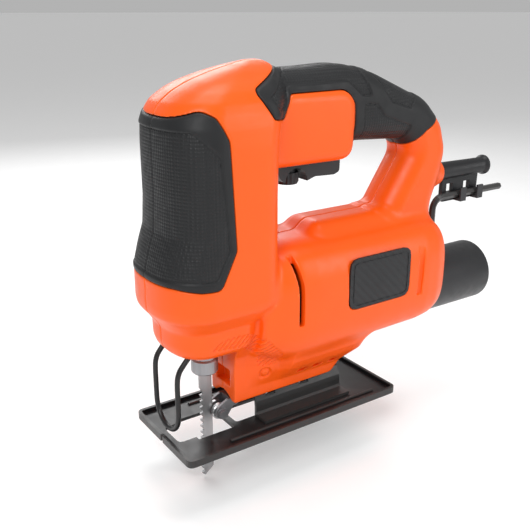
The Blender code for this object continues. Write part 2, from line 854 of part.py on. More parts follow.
for x, z in SCREWS:
    cutters.append(rod("screw_hole", SCREW_RADIUS + GAP, -9.0, REACH, "y", (x, z), 8))

# Vent slots behind the head, one on each side, and a shallow decorative slot near the rear.
VENT_SLOT = rounded(
    ((34.8, 110.0, 1.0), (37.8, 110.0, 1.0), (41.9, 88.0, 30.0), (41.9, 66.0, 1.2), (38.9, 66.0, 1.2), (38.7, 88.0, 30.0)),
    1.0,
    2,
)
SIDE_SLOT = rounded(((130.4, 98.0), (134.4, 98.0), (132.6, 64.5), (128.8, 64.5)), 1.2, 2)
for side in (-1.0, 1.0):
    span = sorted((side * 24.0, side * 45.0))
    cutters.append(prism("vent_slot", VENT_SLOT, span[0], span[1]))
    span = sorted((side * (BARREL_HALF_WIDTH - 1.2), side * 45.0))
    cutters.append(prism("side_slot", SIDE_SLOT, span[0], span[1]))
    span = sorted((side * (BADGE_FACE - BADGE_THICKNESS - GAP), side * 45.0))
    pocket = rounded(
        (
            (BADGE[0] - GAP, BADGE[2] - GAP),
            (BADGE[1] + GAP, BADGE[2] - GAP),
            (BADGE[1] + GAP, BADGE[3] + GAP),
            (BADGE[0] - GAP, BADGE[3] + GAP),
        ),
        6.0 + GAP,
        3,
    )
    cutters.append(prism("badge_pocket", pocket, span[0], span[1]))

# The blade guard's wire: a U with its legs bent back into the nose.
wire_low = TILT_Z + (WIRE_HALF_SPAN + WIRE_RADIUS + 1.0) / math.sin(math.radians(45.0)) - 9.9
wire_path = []
for step in range(11):
    angle = math.pi * step / 10.0
    wire_path.append((WIRE_X, WIRE_HALF_SPAN * math.cos(angle), wire_low - WIRE_HALF_SPAN * math.sin(angle)))
wire_leg = [(-14.5, 63.0), (-25.6, 49.6), (-27.6, 46.6), (WIRE_X, 43.0)]
wire_path = [(x, WIRE_HALF_SPAN, z) for x, z in wire_leg] + wire_path
wire_path += [(x, -WIRE_HALF_SPAN, z) for x, z in reversed(wire_leg)]
cutters.append(wire("wire_hole", wire_path, WIRE_RADIUS + GAP, False, 2))
housing = cut(housing, *cutters)

# A counterbore for each screw head in the right half, from outside down to its seat.
for x, z in SCREWS:
    hole = rod("counterbore", SCREW_HEAD_RADIUS + GAP, SCREW_SEAT, REACH, "y", (x, z), 12)
    housing = cut(housing, hole)
for label, side in (("left", -1), ("right", 1)):
    finish(half(housing, f"housing_{label}", side), f"housing_{label}", ORANGE)
bpy.data.objects.remove(housing)


# --- motor --------------------------------------------------------------------------------------
def toothed(teeth, module, outer_radius, root_radius, backlash, turn, flank_steps=3):
    """A spur gear's outline with involute flanks, thinned by half the backlash, one tooth centred on turn."""
    pressure = math.radians(20.0)
    pitch = 0.5 * module * teeth
    base = pitch * math.cos(pressure)
    involute = math.tan(pressure) - pressure
    half_tooth = 0.25 * math.tau / teeth - 0.25 * backlash / pitch + involute
    low = max(base, root_radius)
    outline = []
    for tooth in range(teeth):
        middle = turn + math.tau * tooth / teeth
        flank = []
        for step in range(flank_steps + 1):
            radius = low + (outer_radius - low) * step / flank_steps
            roll = math.acos(min(base / radius, 1.0))
            flank.append((radius, half_tooth - (math.tan(roll) - roll)))
        if root_radius < low:
            flank.insert(0, (root_radius, flank[0][1]))
        for radius, offset in flank:
            outline.append((radius * math.cos(middle - offset), radius * math.sin(middle - offset)))
        for radius, offset in reversed(flank):
            outline.append((radius * math.cos(middle + offset), radius * math.sin(middle + offset)))
    return outline


pinion_pitch = 0.5 * MODULE * PINION_TEETH
gear_pitch = 0.5 * MODULE * GEAR_TEETH
pinion_outer = pinion_pitch + 0.85 * MODULE
gear_outer = gear_pitch + 0.55 * MODULE
centre_distance = pinion_pitch + gear_pitch
pinion_root = centre_distance - gear_outer - 0.2
gear_root = centre_distance - pinion_outer - 0.2

# A tooth of the pinion points up at the gear, which shows it a gap.
pinion_outline = toothed(PINION_TEETH, MODULE, pinion_outer, pinion_root, BACKLASH, math.radians(90.0), 2)
pinion_outline = [(y, z + MOTOR_Z) for y, z in pinion_outline]
shaft = join(
    rod("armature_shaft", SHAFT_RADIUS, CARRIER_X + CARRIER_THICKNESS - 2.0, 137.5, "x", (0.0, MOTOR_Z), 20),
    prism("pinion", pinion_outline, GEAR_X - 0.5, CARRIER_X + CARRIER_THICKNESS - 1.5, "x"),
)
finish(hinged(shaft, 0.0, 0.0, MOTOR_Z), "armature_shaft", GEAR_STEEL)

slot_turn = math.tau / 12.0
core_outline = []
for index in range(12):
    middle = slot_turn * index
    for radius, offset in (
        (ARMATURE_RADIUS, -0.38),
        (ARMATURE_RADIUS, 0.38),
        (ARMATURE_RADIUS - 1.2, 0.38),
        (ARMATURE_RADIUS - 1.2, 0.2),
        (ARMATURE_RADIUS - 6.5, 0.17),
        (ARMATURE_RADIUS - 6.5, 0.83),
        (ARMATURE_RADIUS - 1.2, 0.8),
        (ARMATURE_RADIUS - 1.2, 0.62),
    ):
        angle = middle + slot_turn * offset
        core_outline.append((radius * math.cos(angle), MOTOR_Z + radius * math.sin(angle)))
core = prism("armature_core", core_outline, STATOR_X, STATOR_X + STATOR_LENGTH, "x")
core = cut(core, rod("core_bore", SHAFT_RADIUS + GAP, 0.0, 200.0, "x", (0.0, MOTOR_Z), 16))
finish(hinged(core, 0.0, 0.0, MOTOR_Z), "armature_core", LAMINATION)

coils = []
for flip, flat in (
    (STATOR_X - 9.0, STATOR_X - GAP),
    (STATOR_X + STATOR_LENGTH + 8.0, STATOR_X + STATOR_LENGTH + GAP),
):
    step = (flat - flip) / 4.0
    coil = [
        (7.5, flip),
        (11.0, flip + step),
        (12.4, flip + 2.2 * step),
        (12.4, flat),
        (SHAFT_RADIUS + GAP, flat),
        (SHAFT_RADIUS + GAP, flip),
    ]
    if flip < flat:
        coil = coil[::-1]
    coils.append(turned("winding", coil, "x", (0.0, 0.0, MOTOR_Z), 12))
legs = []
for index in range(12):
    middle = slot_turn * (index + 0.5)
    c, s = math.cos(middle), math.sin(middle)
    leg = [(ARMATURE_RADIUS - 5.9, -0.85), (ARMATURE_RADIUS - 1.7, -1.25), (ARMATURE_RADIUS - 1.7, 1.25)]
    leg.append((ARMATURE_RADIUS - 5.9, 0.85))
    leg = [(u * c - v * s, MOTOR_Z + u * s + v * c) for u, v in leg]
    legs.append(prism("leg", leg, STATOR_X - 1.0, STATOR_X + STATOR_LENGTH + 1.0, "x"))
winding = join(*coils, *legs)
finish(hinged(winding, 0.0, 0.0, MOTOR_Z), "armature_winding", COPPER)

commutator = rod("commutator", COMMUTATOR_RADIUS, COMMUTATOR_X + 1.0, COMMUTATOR_X + 17.0, "x", (0.0, MOTOR_Z), 12)
riser = rod("riser", COMMUTATOR_RADIUS + 1.6, COMMUTATOR_X, COMMUTATOR_X + 2.4, "x", (0.0, MOTOR_Z), 12)
commutator = join(commutator, riser)
grooves = []
for index in range(12):
    angle = slot_turn * (index + 0.5)
    c, s = math.cos(angle), math.sin(angle)
    reach = COMMUTATOR_RADIUS + 4.0
    floor = COMMUTATOR_RADIUS - 0.7
    strip = [(floor, -0.3), (reach, -0.3), (reach, 0.3), (floor, 0.3)]
    strip = [(u * c - v * s, MOTOR_Z + u * s + v * c) for u, v in strip]
    grooves.append(prism("groove", strip, COMMUTATOR_X - 2.0, COMMUTATOR_X + 20.0, "x"))
commutator = cut(commutator, rod("bore", SHAFT_RADIUS + GAP, 0.0, 200.0, "x", (0.0, MOTOR_Z), 16), *grooves)
finish(hinged(commutator, 0.0, 0.0, MOTOR_Z), "commutator", COPPER)

fan_profile = [
    (FAN_RADIUS, FAN_X + 11.0),
    (FAN_RADIUS, FAN_X + 9.6),
    (9.0, FAN_X + 6.0),
    (7.5, FAN_X),
    (SHAFT_RADIUS + GAP, FAN_X),
    (SHAFT_RADIUS + GAP, FAN_X + 11.0),
]
fan = turned("fan", fan_profile, "x", (0.0, 0.0, MOTOR_Z), 18)
blades = []
for index in range(9):
    angle = math.tau * index / 9.0
    c, s = math.cos(angle), math.sin(angle)
    vane = [(7.0, -0.8), (15.0, -1.6), (FAN_RADIUS - 1.0, -4.2), (FAN_RADIUS - 1.0, -2.8), (15.0, -0.2), (7.0, 0.8)]
    vane = [(u * c - v * s, MOTOR_Z + u * s + v * c) for u, v in vane]
    blades.append(prism("vane", vane, FAN_X + 2.0, FAN_X + 10.4, "x"))
fan = join(fan, *blades)
finish(hinged(fan, 0.0, 0.0, MOTOR_Z), "fan", FAN_PLASTIC)


def bearing(name, low):
    """A ball bearing stood in for by one ring with its two races and the seal between them."""
    inner = SHAFT_RADIUS + RUN
    profile = [
        (BEARING_RADIUS, low + BEARING_WIDTH),
        (BEARING_RADIUS, low),
        (inner, low),
        (inner, low + BEARING_WIDTH),
        (inner + 1.6, low + BEARING_WIDTH),
        (inner + 1.6, low + BEARING_WIDTH - 0.5),
        (BEARING_RADIUS - 1.6, low + BEARING_WIDTH - 0.5),
        (BEARING_RADIUS - 1.6, low + BEARING_WIDTH),
    ]
    finish(turned(name, profile, "x", (0.0, 0.0, MOTOR_Z), 20), name, STEEL)


front_bearing_x = CARRIER_X + CARRIER_THICKNESS + GAP
bearing("front_bearing", front_bearing_x)
bearing("rear_bearing", REAR_BEARING_X)

# Stator stack: a bore for the armature and closed slots for the legs of the field coils.
coil_y, coil_z = 17.6, 12.6
stator = rod("stator_core", STATOR_RADIUS, STATOR_X, STATOR_X + STATOR_LENGTH, "x", (0.0, MOTOR_Z), 32)
holes = [rod("bore", ARMATURE_RADIUS + 0.7, 40.0, 120.0, "x", (0.0, MOTOR_Z), 24)]
for y in (-coil_y, coil_y):
    for z in (-coil_z, coil_z):
        holes.append(rod("coil_slot", 3.4, 40.0, 120.0, "x", (y, MOTOR_Z + z), 8))
finish(cut(stator, *holes), "stator_core", LAMINATION)
for label, z in (("upper", coil_z), ("lower", -coil_z)):
    ends = (STATOR_X - 4.4, STATOR_X + STATOR_LENGTH + 4.4)
    loop = rounded(((ends[0], -coil_y), (ends[1], -coil_y), (ends[1], coil_y), (ends[0], coil_y)), 4.0, 3)
    lifted = []
    for x, y in loop:
        # The end turns bow outward, clear of the armature's own windings.
        bow = 6.0 * (1.0 - (y / coil_y) ** 2)
        lifted.append((x, y, MOTOR_Z + z + math.copysign(bow, z)))
    ridge = []
    for index, point in enumerate(lifted):
        ridge.append(point)
        after = lifted[(index + 1) % len(lifted)]
        if abs(after[1] - point[1]) > 10.0:
            for t in (0.25, 0.5, 0.75):
                y = point[1] + t * (after[1] - point[1])
                bow = 6.0 * (1.0 - (y / coil_y) ** 2)
                ridge.append((point[0], y, MOTOR_Z + z + math.copysign(bow, z)))
    finish(wire(f"field_coil_{label}", ridge, 2.9, True, 1), f"field_coil_{label}", COPPER)

# Brush gear: a boxed holder on each side with its carbon block and spring.
for label, side in (("left", -1.0), ("right", 1.0)):
    def reach(start, stop, side=side):
        return sorted((side * start, side * stop))

    def block(name, x_half, z_half, start, stop):
        low, high = reach(start, stop)
        return box(name, (BRUSH_X - x_half, low, MOTOR_Z - z_half), (BRUSH_X + x_half, high, MOTOR_Z + z_half))

    inner = COMMUTATOR_RADIUS + 1.4
    holder = cut(block("holder", 4.4, 4.9, inner, 28.5), block("holder_way", 2.8, 3.3, 0.0, 27.0))
    finish(holder, f"brush_holder_{label}", BRASS)
    brush = block("brush", 2.5, 3.0, COMMUTATOR_RADIUS + GAP, 20.0)
    finish(brush, f"carbon_brush_{label}", CARBON)
    coils = []
    turns, points = 3, 7
    for step in range(turns * points + 1):
        angle = math.tau * step / points
        y = side * (20.8 + 5.4 * step / (turns * points))
        coils.append((BRUSH_X + 1.9 * math.cos(angle), y, MOTOR_Z + 1.9 * math.sin(angle)))
    finish(wire(f"brush_spring_{label}", coils, 0.3, False, 0), f"brush_spring_{label}", STEEL)

# --- gear train ---------------------------------------------------------------------------------
carrier = prism(
    "gear_carrier",
    rounded(
        (
            (-carrier_half, carrier_z[0]),
            (carrier_half, carrier_z[0]),
            (carrier_half, carrier_z[1]),
            (-carrier_half, carrier_z[1]),
        ),
        3.0,
        3,
    ),
    CARRIER_X,
    CARRIER_X + CARRIER_THICKNESS,
    "x",
)
cup = rod("cup", BEARING_RADIUS + GAP + 2.4, CARRIER_X + 1.0, front_bearing_x + BEARING_WIDTH, "x", (0.0, MOTOR_Z), ROUND)
carrier = join(carrier, cup)
carrier = cut(
    carrier,
    rod("cup_bore", BEARING_RADIUS + GAP, CARRIER_X + CARRIER_THICKNESS, 60.0, "x", (0.0, MOTOR_Z), ROUND),
    rod("pinion_way", pinion_outer + 1.4, 0.0, 60.0, "x", (0.0, MOTOR_Z)),
    rod("spindle_seat", SPINDLE_RADIUS + GAP, 0.0, 60.0, "x", (0.0, gear_z)),
)
finish(carrier, "gear_carrier", ZINC)

spindle_profile = [
    (SPINDLE_RADIUS - 0.5, CARRIER_X + CARRIER_THICKNESS + 1.5),
    (SPINDLE_RADIUS, CARRIER_X + CARRIER_THICKNESS + 1.0),
    (SPINDLE_RADIUS, GEAR_X - GAP),
    (CRANK_RADIUS - CRANK_PIN_RADIUS - 0.7, GEAR_X - GAP),
    (CRANK_RADIUS - CRANK_PIN_RADIUS - 0.7, GEAR_X - 1.5),
    (0.0, GEAR_X - 1.5),
]
spindle_profile = [(0.0, CARRIER_X + CARRIER_THICKNESS + 1.5)] + spindle_profile
spindle = turned("gear_spindle", spindle_profile, "x", (0.0, 0.0, gear_z), 24)
finish(spindle, "gear_spindle", STEEL)

# A gap of the gear faces down at the pinion's tooth.
gear_turn = math.radians(-90.0) + math.pi / GEAR_TEETH
gear_outline = toothed(GEAR_TEETH, MODULE, gear_outer, gear_root, BACKLASH, gear_turn, 1)
gear_outline = [(y, z + gear_z) for y, z in gear_outline]
gear = prism("drive_gear", gear_outline, GEAR_X, GEAR_X + GEAR_WIDTH, "x")
gear = join(
    gear,
    rod("hub", 7.0, GEAR_X + GEAR_WIDTH - 1.0, CARRIER_X - GAP, "x", (0.0, gear_z), 24),
    rod("crank_pin", CRANK_PIN_RADIUS, GEAR_X - 2.6, GEAR_X + 1.0, "x", (0.0, gear_z - CRANK_RADIUS), 20),
)
gear = cut(gear, rod("gear_bore", SPINDLE_RADIUS + RUN, 0.0, 60.0, "x", (0.0, gear_z), 24))
finish(hinged(gear, 0.0, 0.0, gear_z), "drive_gear", GEAR_STEEL)

# --- plunger, yoke and bushes --------------------------------------------------------------------
shank_half = 0.5 * (BLADE_WIDTH - 2.6)
plunger = turned(
    "plunger",
    [
        (0.0, PLUNGER_TOP),
        (PLUNGER_RADIUS - 0.8, PLUNGER_TOP),
        (PLUNGER_RADIUS, PLUNGER_TOP - 0.8),
        (PLUNGER_RADIUS, PLUNGER_BOTTOM + 0.5),
        (PLUNGER_RADIUS - 0.5, PLUNGER_BOTTOM),
        (0.0, PLUNGER_BOTTOM),
    ],
    "z",
    (PLUNGER_X, 0.0, 0.0),
    24,
)
blade_slot = box(
    "blade_slot",
    (PLUNGER_X - shank_half - GAP, -0.5 * BLADE_THICKNESS - GAP, PLUNGER_BOTTOM - 5.0),
    (PLUNGER_X + shank_half + GAP, 0.5 * BLADE_THICKNESS + GAP, PLUNGER_BOTTOM + 19.0),
)
finish(cut(plunger, blade_slot), "plunger", STEEL)

yoke_z = gear_z - CRANK_RADIUS
yoke_rear = GEAR_X - 2.6 - GAP
slot_half = CRANK_RADIUS + CRANK_PIN_RADIUS + 0.6
yoke = rod("yoke", PLUNGER_RADIUS + GAP + 2.6, yoke_z - 7.5, yoke_z + 7.5, "z", (PLUNGER_X, 0.0), ROUND)
plate = box("plate", (PLUNGER_X + PLUNGER_RADIUS - 0.5, -slot_half - 2.8, yoke_z - 6.5), (yoke_rear, slot_half + 2.8, yoke_z + 6.5))
yoke = join(yoke, plate)
channel = prism(
    "channel",
    rounded(
        (
            (-slot_half, yoke_z - CRANK_PIN_RADIUS - GAP),
            (slot_half, yoke_z - CRANK_PIN_RADIUS - GAP),
            (slot_half, yoke_z + CRANK_PIN_RADIUS + GAP),
            (-slot_half, yoke_z + CRANK_PIN_RADIUS + GAP),
        ),
        2.8,
        3,
    ),
    yoke_rear - 3.4,
    yoke_rear + 5.0,
    "x",
)
yoke = cut(yoke, channel, rod("rod_bore", PLUNGER_RADIUS + GAP, 0.0, 200.0, "z", (PLUNGER_X, 0.0), ROUND))
finish(yoke, "scotch_yoke", GEAR_STEEL)

for name, low in (("plunger_bush_lower", LOWER_BUSH_Z), ("plunger_bush_upper", UPPER_BUSH_Z)):
    profile = [
        (BUSH_RADIUS, low + BUSH_LENGTH),
        (BUSH_RADIUS, low),
        (PLUNGER_RADIUS + RUN, low),
        (PLUNGER_RADIUS + RUN, low + BUSH_LENGTH),
    ]
    finish(turned(name, profile, "z", (PLUNGER_X, 0.0, 0.0), 24), name, BRASS)

# --- blade and its quick clamp --------------------------------------------------------------------
blade_rear = PLUNGER_X + 0.5 * BLADE_WIDTH
blade_front = PLUNGER_X - 0.5 * BLADE_WIDTH
blade_outline = [
    (PLUNGER_X + shank_half, PLUNGER_BOTTOM + 18.0),
    (PLUNGER_X + shank_half, PLUNGER_BOTTOM - 1.0),
    (blade_rear, PLUNGER_BOTTOM - 1.6),
    (blade_rear, -0.85 * BLADE_DROP),
    (blade_front + 2.2, -BLADE_DROP),
]
tooth_top = PLUNGER_BOTTOM - 13.5
teeth = int((tooth_top + BLADE_DROP - 2.0) / TOOTH_PITCH)
for index in range(teeth):
    z = -BLADE_DROP + 1.4 + TOOTH_PITCH * index
    blade_outline += [
        (blade_front + 0.3, z + 0.2),
        (blade_front + 0.15, z + 1.1),
        (blade_front + 2.1, z + 1.7),
        (blade_front + 1.7, z + 2.7),
    ]
blade_outline += [
    (blade_front, tooth_top + 1.2),
    (blade_front, PLUNGER_BOTTOM - 1.6),
    (PLUNGER_X - shank_half, PLUNGER_BOTTOM - 1.0),
    (PLUNGER_X - shank_half, PLUNGER_BOTTOM + 18.0),
]
finish(prism("saw_blade", blade_outline, -0.5 * BLADE_THICKNESS, 0.5 * BLADE_THICKNESS), "saw_blade", BLADE_STEEL, 20.0)

mouth = math.hypot(0.5 * BLADE_WIDTH, 0.5 * BLADE_THICKNESS) + GAP
collar = turned(
    "clamp_collar",
    [
        (COLLAR_RADIUS - 0.9, COLLAR_TOP),
        (COLLAR_RADIUS - 0.9, COLLAR_BOTTOM + 9.2),
        (COLLAR_RADIUS, COLLAR_BOTTOM + 8.2),
        (COLLAR_RADIUS, COLLAR_BOTTOM + 0.9),
        (COLLAR_RADIUS - 0.8, COLLAR_BOTTOM),
        (mouth, COLLAR_BOTTOM),
        (mouth, PLUNGER_BOTTOM - GAP),
        (PLUNGER_RADIUS + RUN, PLUNGER_BOTTOM - GAP),
        (PLUNGER_RADIUS + RUN, COLLAR_TOP),
    ],
    "z",
    (PLUNGER_X, 0.0, 0.0),
    24,
)
finish(hinged(collar, PLUNGER_X, 0.0, COLLAR_BOTTOM), "clamp_collar", ZINC)

# --- blade support: bracket, grooved roller and its pin -------------------------------------------
half_gap = ROLLER_HALF_WIDTH + GAP
arm_outer = half_gap + 1.7
bracket_rear = FOOT_FRONT + 12.5
arm = rounded(
    (
        (ROLLER_X - 3.6, ROLLER_Z - 3.4),
        (ROLLER_X + 3.6, ROLLER_Z - 3.4, 2.0),
        (FOOT_FRONT + 4.0, ROLLER_Z + 3.4, 2.0),
        (bracket_rear, ROLLER_Z + 3.4, 1.0),
        (bracket_rear, FOOT_BOTTOM - GAP, 0.0),
        (FOOT_FRONT, FOOT_BOTTOM - GAP, 0.0),
        (ROLLER_X - 3.6, ROLLER_Z + 3.6),
    ),
    3.0,
)
bracket = prism("roller_bracket", arm, -arm_outer, arm_outer)
bracket = cut(
    bracket,
    box(
        "roller_gap",
        (-20.0, -half_gap, -10.0),
        (ROLLER_X + ROLLER_FLANGE_RADIUS + 0.8, half_gap, FOOT_BOTTOM + 2.0),
    ),
    rod("pin_hole", ROLLER_PIN_RADIUS + GAP, -20.0, 20.0, "y", (ROLLER_X, ROLLER_Z), 16),
    rod("screw_way", 1.5 + GAP, 0.0, 40.0, "z", (FOOT_FRONT + 7.0, 0.0), 12),
    rod("cradle", ARCH_RADIUS + GAP, FOOT_FRONT + 4.0, 60.0, "x", (0.0, TILT_Z - 9.0), 24),
)
finish(bracket, "roller_bracket", ZINC)

screw_head_low = ROLLER_Z + 0.6
bracket_screw = turned(
    "bracket_screw",
    [
        (0.0, 30.0),
        (1.5, 30.0),
        (1.5, ROLLER_Z + 3.4 - GAP - 0.2),
        (2.9, ROLLER_Z + 3.4 - GAP - 0.2),
        (2.9, screw_head_low + 0.5),
        (2.4, screw_head_low),
        (0.0, screw_head_low),
    ],
    "z",
    (FOOT_FRONT + 7.0, 0.0, 0.0),
    16,
)
finish(bracket_screw, "bracket_screw", STEEL)

roller = turned(
    "guide_roller",
    [
        (ROLLER_FLANGE_RADIUS - 0.5, ROLLER_HALF_WIDTH),
        (ROLLER_FLANGE_RADIUS, ROLLER_HALF_WIDTH - 0.5),
        (ROLLER_FLANGE_RADIUS, 0.5 * BLADE_THICKNESS + 0.6),
        (ROLLER_GROOVE_RADIUS, 0.5 * BLADE_THICKNESS + GAP),
        (ROLLER_GROOVE_RADIUS, -0.5 * BLADE_THICKNESS - GAP),
        (ROLLER_FLANGE_RADIUS, -0.5 * BLADE_THICKNESS - 0.6),
        (ROLLER_FLANGE_RADIUS, -ROLLER_HALF_WIDTH + 0.5),
        (ROLLER_FLANGE_RADIUS - 0.5, -ROLLER_HALF_WIDTH),
        (ROLLER_PIN_RADIUS + RUN, -ROLLER_HALF_WIDTH),
        (ROLLER_PIN_RADIUS + RUN, ROLLER_HALF_WIDTH),
    ],
    "y",
    (ROLLER_X, 0.0, ROLLER_Z),
    20,
)
finish(hinged(roller, ROLLER_X, 0.0, ROLLER_Z), "guide_roller", GEAR_STEEL)

pin_head = -arm_outer - GAP
roller_pin = rod("roller_pin", ROLLER_PIN_RADIUS, pin_head - 1.0, arm_outer + 0.8, "y", (ROLLER_X, ROLLER_Z), 20)
roller_pin = join(
    roller_pin,
    rod("washer_face", 3.5, pin_head - 0.7, pin_head, "y", (ROLLER_X, ROLLER_Z), 24),
    rod("hexagon", 2.9, pin_head - 2.4, pin_head - 0.4, "y", (ROLLER_X, ROLLER_Z), 6, 0.3),
)
finish(roller_pin, "roller_pin", ZINC)

# --- blade guard --------------------------------------------------------------------------------
finish(wire("guard_wire", wire_path, WIRE_RADIUS, False, 2), "guard_wire", BLACK_STEEL)

# --- shoe ---------------------------------------------------------------------------------------
half_shoe = 0.5 * SHOE_WIDTH
shoe_rear = SHOE_FRONT + SHOE_LENGTH
sole = rounded(
    ((SHOE_FRONT, -half_shoe), (shoe_rear, -half_shoe), (shoe_rear, half_shoe), (SHOE_FRONT, half_shoe)), 4.0
)
shoe = prism("shoe_plate", sole, 0.0, SHOE_RIM, "z")
window = rounded(
    (
        (SHOE_FRONT + 6.3, -9.6),
        (SHOE_FRONT + 17.3, -9.6, 0.6),
        (SHOE_FRONT + 17.3, -12.6, 0.6),
        (SHOE_FRONT + 40.9, -12.6, 0.6),
        (SHOE_FRONT + 40.9, 12.6, 0.6),
        (SHOE_FRONT + 17.3, 12.6, 0.6),
        (SHOE_FRONT + 17.3, 9.6, 0.6),
        (SHOE_FRONT + 6.3, 9.6),
    ),
    3.0,
    2,
)
arch_inner = ARCH_RADIUS - ARCH_SHEET
shoe = cut(
    shoe,
    prism("tray", inset(sole, 2.0), SHOE_SHEET, 20.0, "z"),
    prism("window", window, -5.0, 20.0, "z"),
    prism(
        "arch_opening",
        rounded(
            (
                (SHOE_FRONT + 44.6, -arch_inner + 0.6),
                (ARCH_REAR - 3.0, -arch_inner + 0.6),
                (ARCH_REAR - 3.0, arch_inner - 0.6),
                (SHOE_FRONT + 44.6, arch_inner - 0.6),
            ),
            2.0,
        ),
        -5.0,
        20.0,
        "z",
    ),
    prism("sight_notch", [(SHOE_FRONT - 1.0, -1.6), (SHOE_FRONT + 2.6, 0.0), (SHOE_FRONT - 1.0, 1.6)], -5.0, 20.0, "z"),
)
ridges = []
for side in (-1.0, 1.0):
    ridges.append(
        wire(
            "ridge",
            [(SHOE_FRONT + 31.0, side * 24.6, SHOE_SHEET), (shoe_rear - 14.0, side * 25.6, SHOE_SHEET)],
            1.3,
        )
    )
shoe = join(shoe, *ridges)
finish(hinged(shoe, 0.0, 0.0, TILT_Z), "shoe_plate", BLACK_STEEL)

# The bevel arch: a folded sheet whose crown is concentric with the tilt axis.
flange_low = SHOE_SHEET + GAP
flange_high = flange_low + ARCH_SHEET
crown = [math.radians(15.0 * step) for step in range(13)]
section = [(21.0, flange_low), (21.0, flange_high), (ARCH_RADIUS + 1.2, flange_high), (ARCH_RADIUS, flange_high + 1.2)]
section += [(ARCH_RADIUS * math.cos(a), TILT_Z + ARCH_RADIUS * math.sin(a)) for a in crown]
section += [(-ARCH_RADIUS, flange_high + 1.2), (-ARCH_RADIUS - 1.2, flange_high), (-21.0, flange_high), (-21.0, flange_low)]
section += [(-arch_inner, flange_low)]
section += [(arch_inner * math.cos(a), TILT_Z + arch_inner * math.sin(a)) for a in reversed(crown)]
section += [(arch_inner, flange_low)]
arch = prism("bevel_arch", section, ARCH_FRONT, ARCH_REAR, "x")
slots = []
for x in CLAMP_X:
    sweep = [math.radians(90.0 + SLOT_ANGLE * (step / 8.0 - 1.0)) for step in range(17)]
    tunnel = [((ARCH_RADIUS + 3.0) * math.cos(a), TILT_Z + (ARCH_RADIUS + 3.0) * math.sin(a)) for a in sweep]
    tunnel += [((arch_inner - 3.0) * math.cos(a), TILT_Z + (arch_inner - 3.0) * math.sin(a)) for a in reversed(sweep)]
    slots.append(prism("clamp_slot", tunnel, x - 0.5 * SLOT_WIDTH, x + 0.5 * SLOT_WIDTH, "x"))
arch = cut(arch, *slots)
finish(hinged(arch, 0.0, 0.0, TILT_Z), "bevel_arch", BLACK_STEEL)

# The clamp bar under the arch and its two screws, which pull the arch up against the foot.
bar_radius = arch_inner - GAP
bar_turn = [math.radians(50.0 + 10.0 * step) for step in range(9)]
bar_section = [(bar_radius * math.cos(a), TILT_Z + bar_radius * math.sin(a)) for a in bar_turn]
bar_low = TILT_Z + bar_radius * math.sin(math.radians(50.0)) - 1.4
bar_section += [(-bar_radius * math.cos(math.radians(50.0)), bar_low), (bar_radius * math.cos(math.radians(50.0)), bar_low)]
bar = prism("clamp_bar", bar_section, CLAMP_X[0] - 7.0, CLAMP_X[-1] + 7.0, "x")
for x in CLAMP_X:
    bar = cut(bar, rod("bar_hole", CLAMP_SCREW_RADIUS + GAP, 0.0, 40.0, "z", (x, 0.0), 16))
finish(bar, "clamp_bar", ZINC)
for label, x in zip(("front", "rear"), CLAMP_X):
    seat = bar_low - GAP
    clamp_screw = turned(
        "clamp_screw",
        [
            (0.0, 33.0),
            (CLAMP_SCREW_RADIUS - 0.5, 33.0),
            (CLAMP_SCREW_RADIUS, 32.5),
            (CLAMP_SCREW_RADIUS, seat),
            (CLAMP_SCREW_RADIUS + 1.7, seat),
            (CLAMP_SCREW_RADIUS + 1.7, seat - 3.6),
            (CLAMP_SCREW_RADIUS + 1.3, seat - 4.0),
            (0.0, seat - 4.0),
        ],
        "z",
        (x, 0.0, 0.0),
        14,
    )
    socket = rod("socket", 0.5 * KEY_FLATS / math.cos(math.radians(30.0)), seat - 10.0, seat - 1.6, "z", (x, 0.0), 6)
    finish(cut(clamp_screw, socket), f"clamp_screw_{label}", STEEL)

# --- switch, trigger, dial and lock button ---------------------------------------------------------
switch_low = 164.0
finish(box("switch_body", (47.0, -8.4, switch_low), (84.0, 8.4, 182.0)), "switch_body", BLACK_PLASTIC)

trigger_top = switch_low - TRIGGER_TRAVEL - GAP
trigger = prism(
    "trigger",
    rounded(
        (
            (39.2, trigger_top, 0.5),
            (39.2, 150.0, 2.0),
            (43.0, 142.6, 5.0),
            (50.0, 139.6, 6.0),
            (58.0, 139.8, 4.0),
            (66.5, 142.6, 4.0),
            (80.5, 142.0, 4.0),
            (84.4, 143.6, 2.0),
            (84.8, trigger_top, 0.5),
        ),
        1.0,
        2,
    ),
    -TRIGGER_HALF_WIDTH,
    TRIGGER_HALF_WIDTH,
)
dial_low = 139.0
dial_high = 147.6
trigger = cut(
    trigger,
    rod("dial_pocket", DIAL_RADIUS + 0.8, 120.0, dial_high + GAP, "z", (DIAL_X, 0.0), ROUND),
    rod("side_scoop", 7.6, -20.0, 20.0, "y", (DIAL_X + 0.5, 141.2), 28),
    rod("spring_pocket", 3.6, 149.0, 200.0, "z", (72.0, 0.0), 20),
)
stud = rod("stud", 1.6, dial_low + 2.0, dial_high + 3.0, "z", (DIAL_X, 0.0), 16)
trigger = join(trigger, stud)
finish(trigger, "trigger", BLACK_PLASTIC)

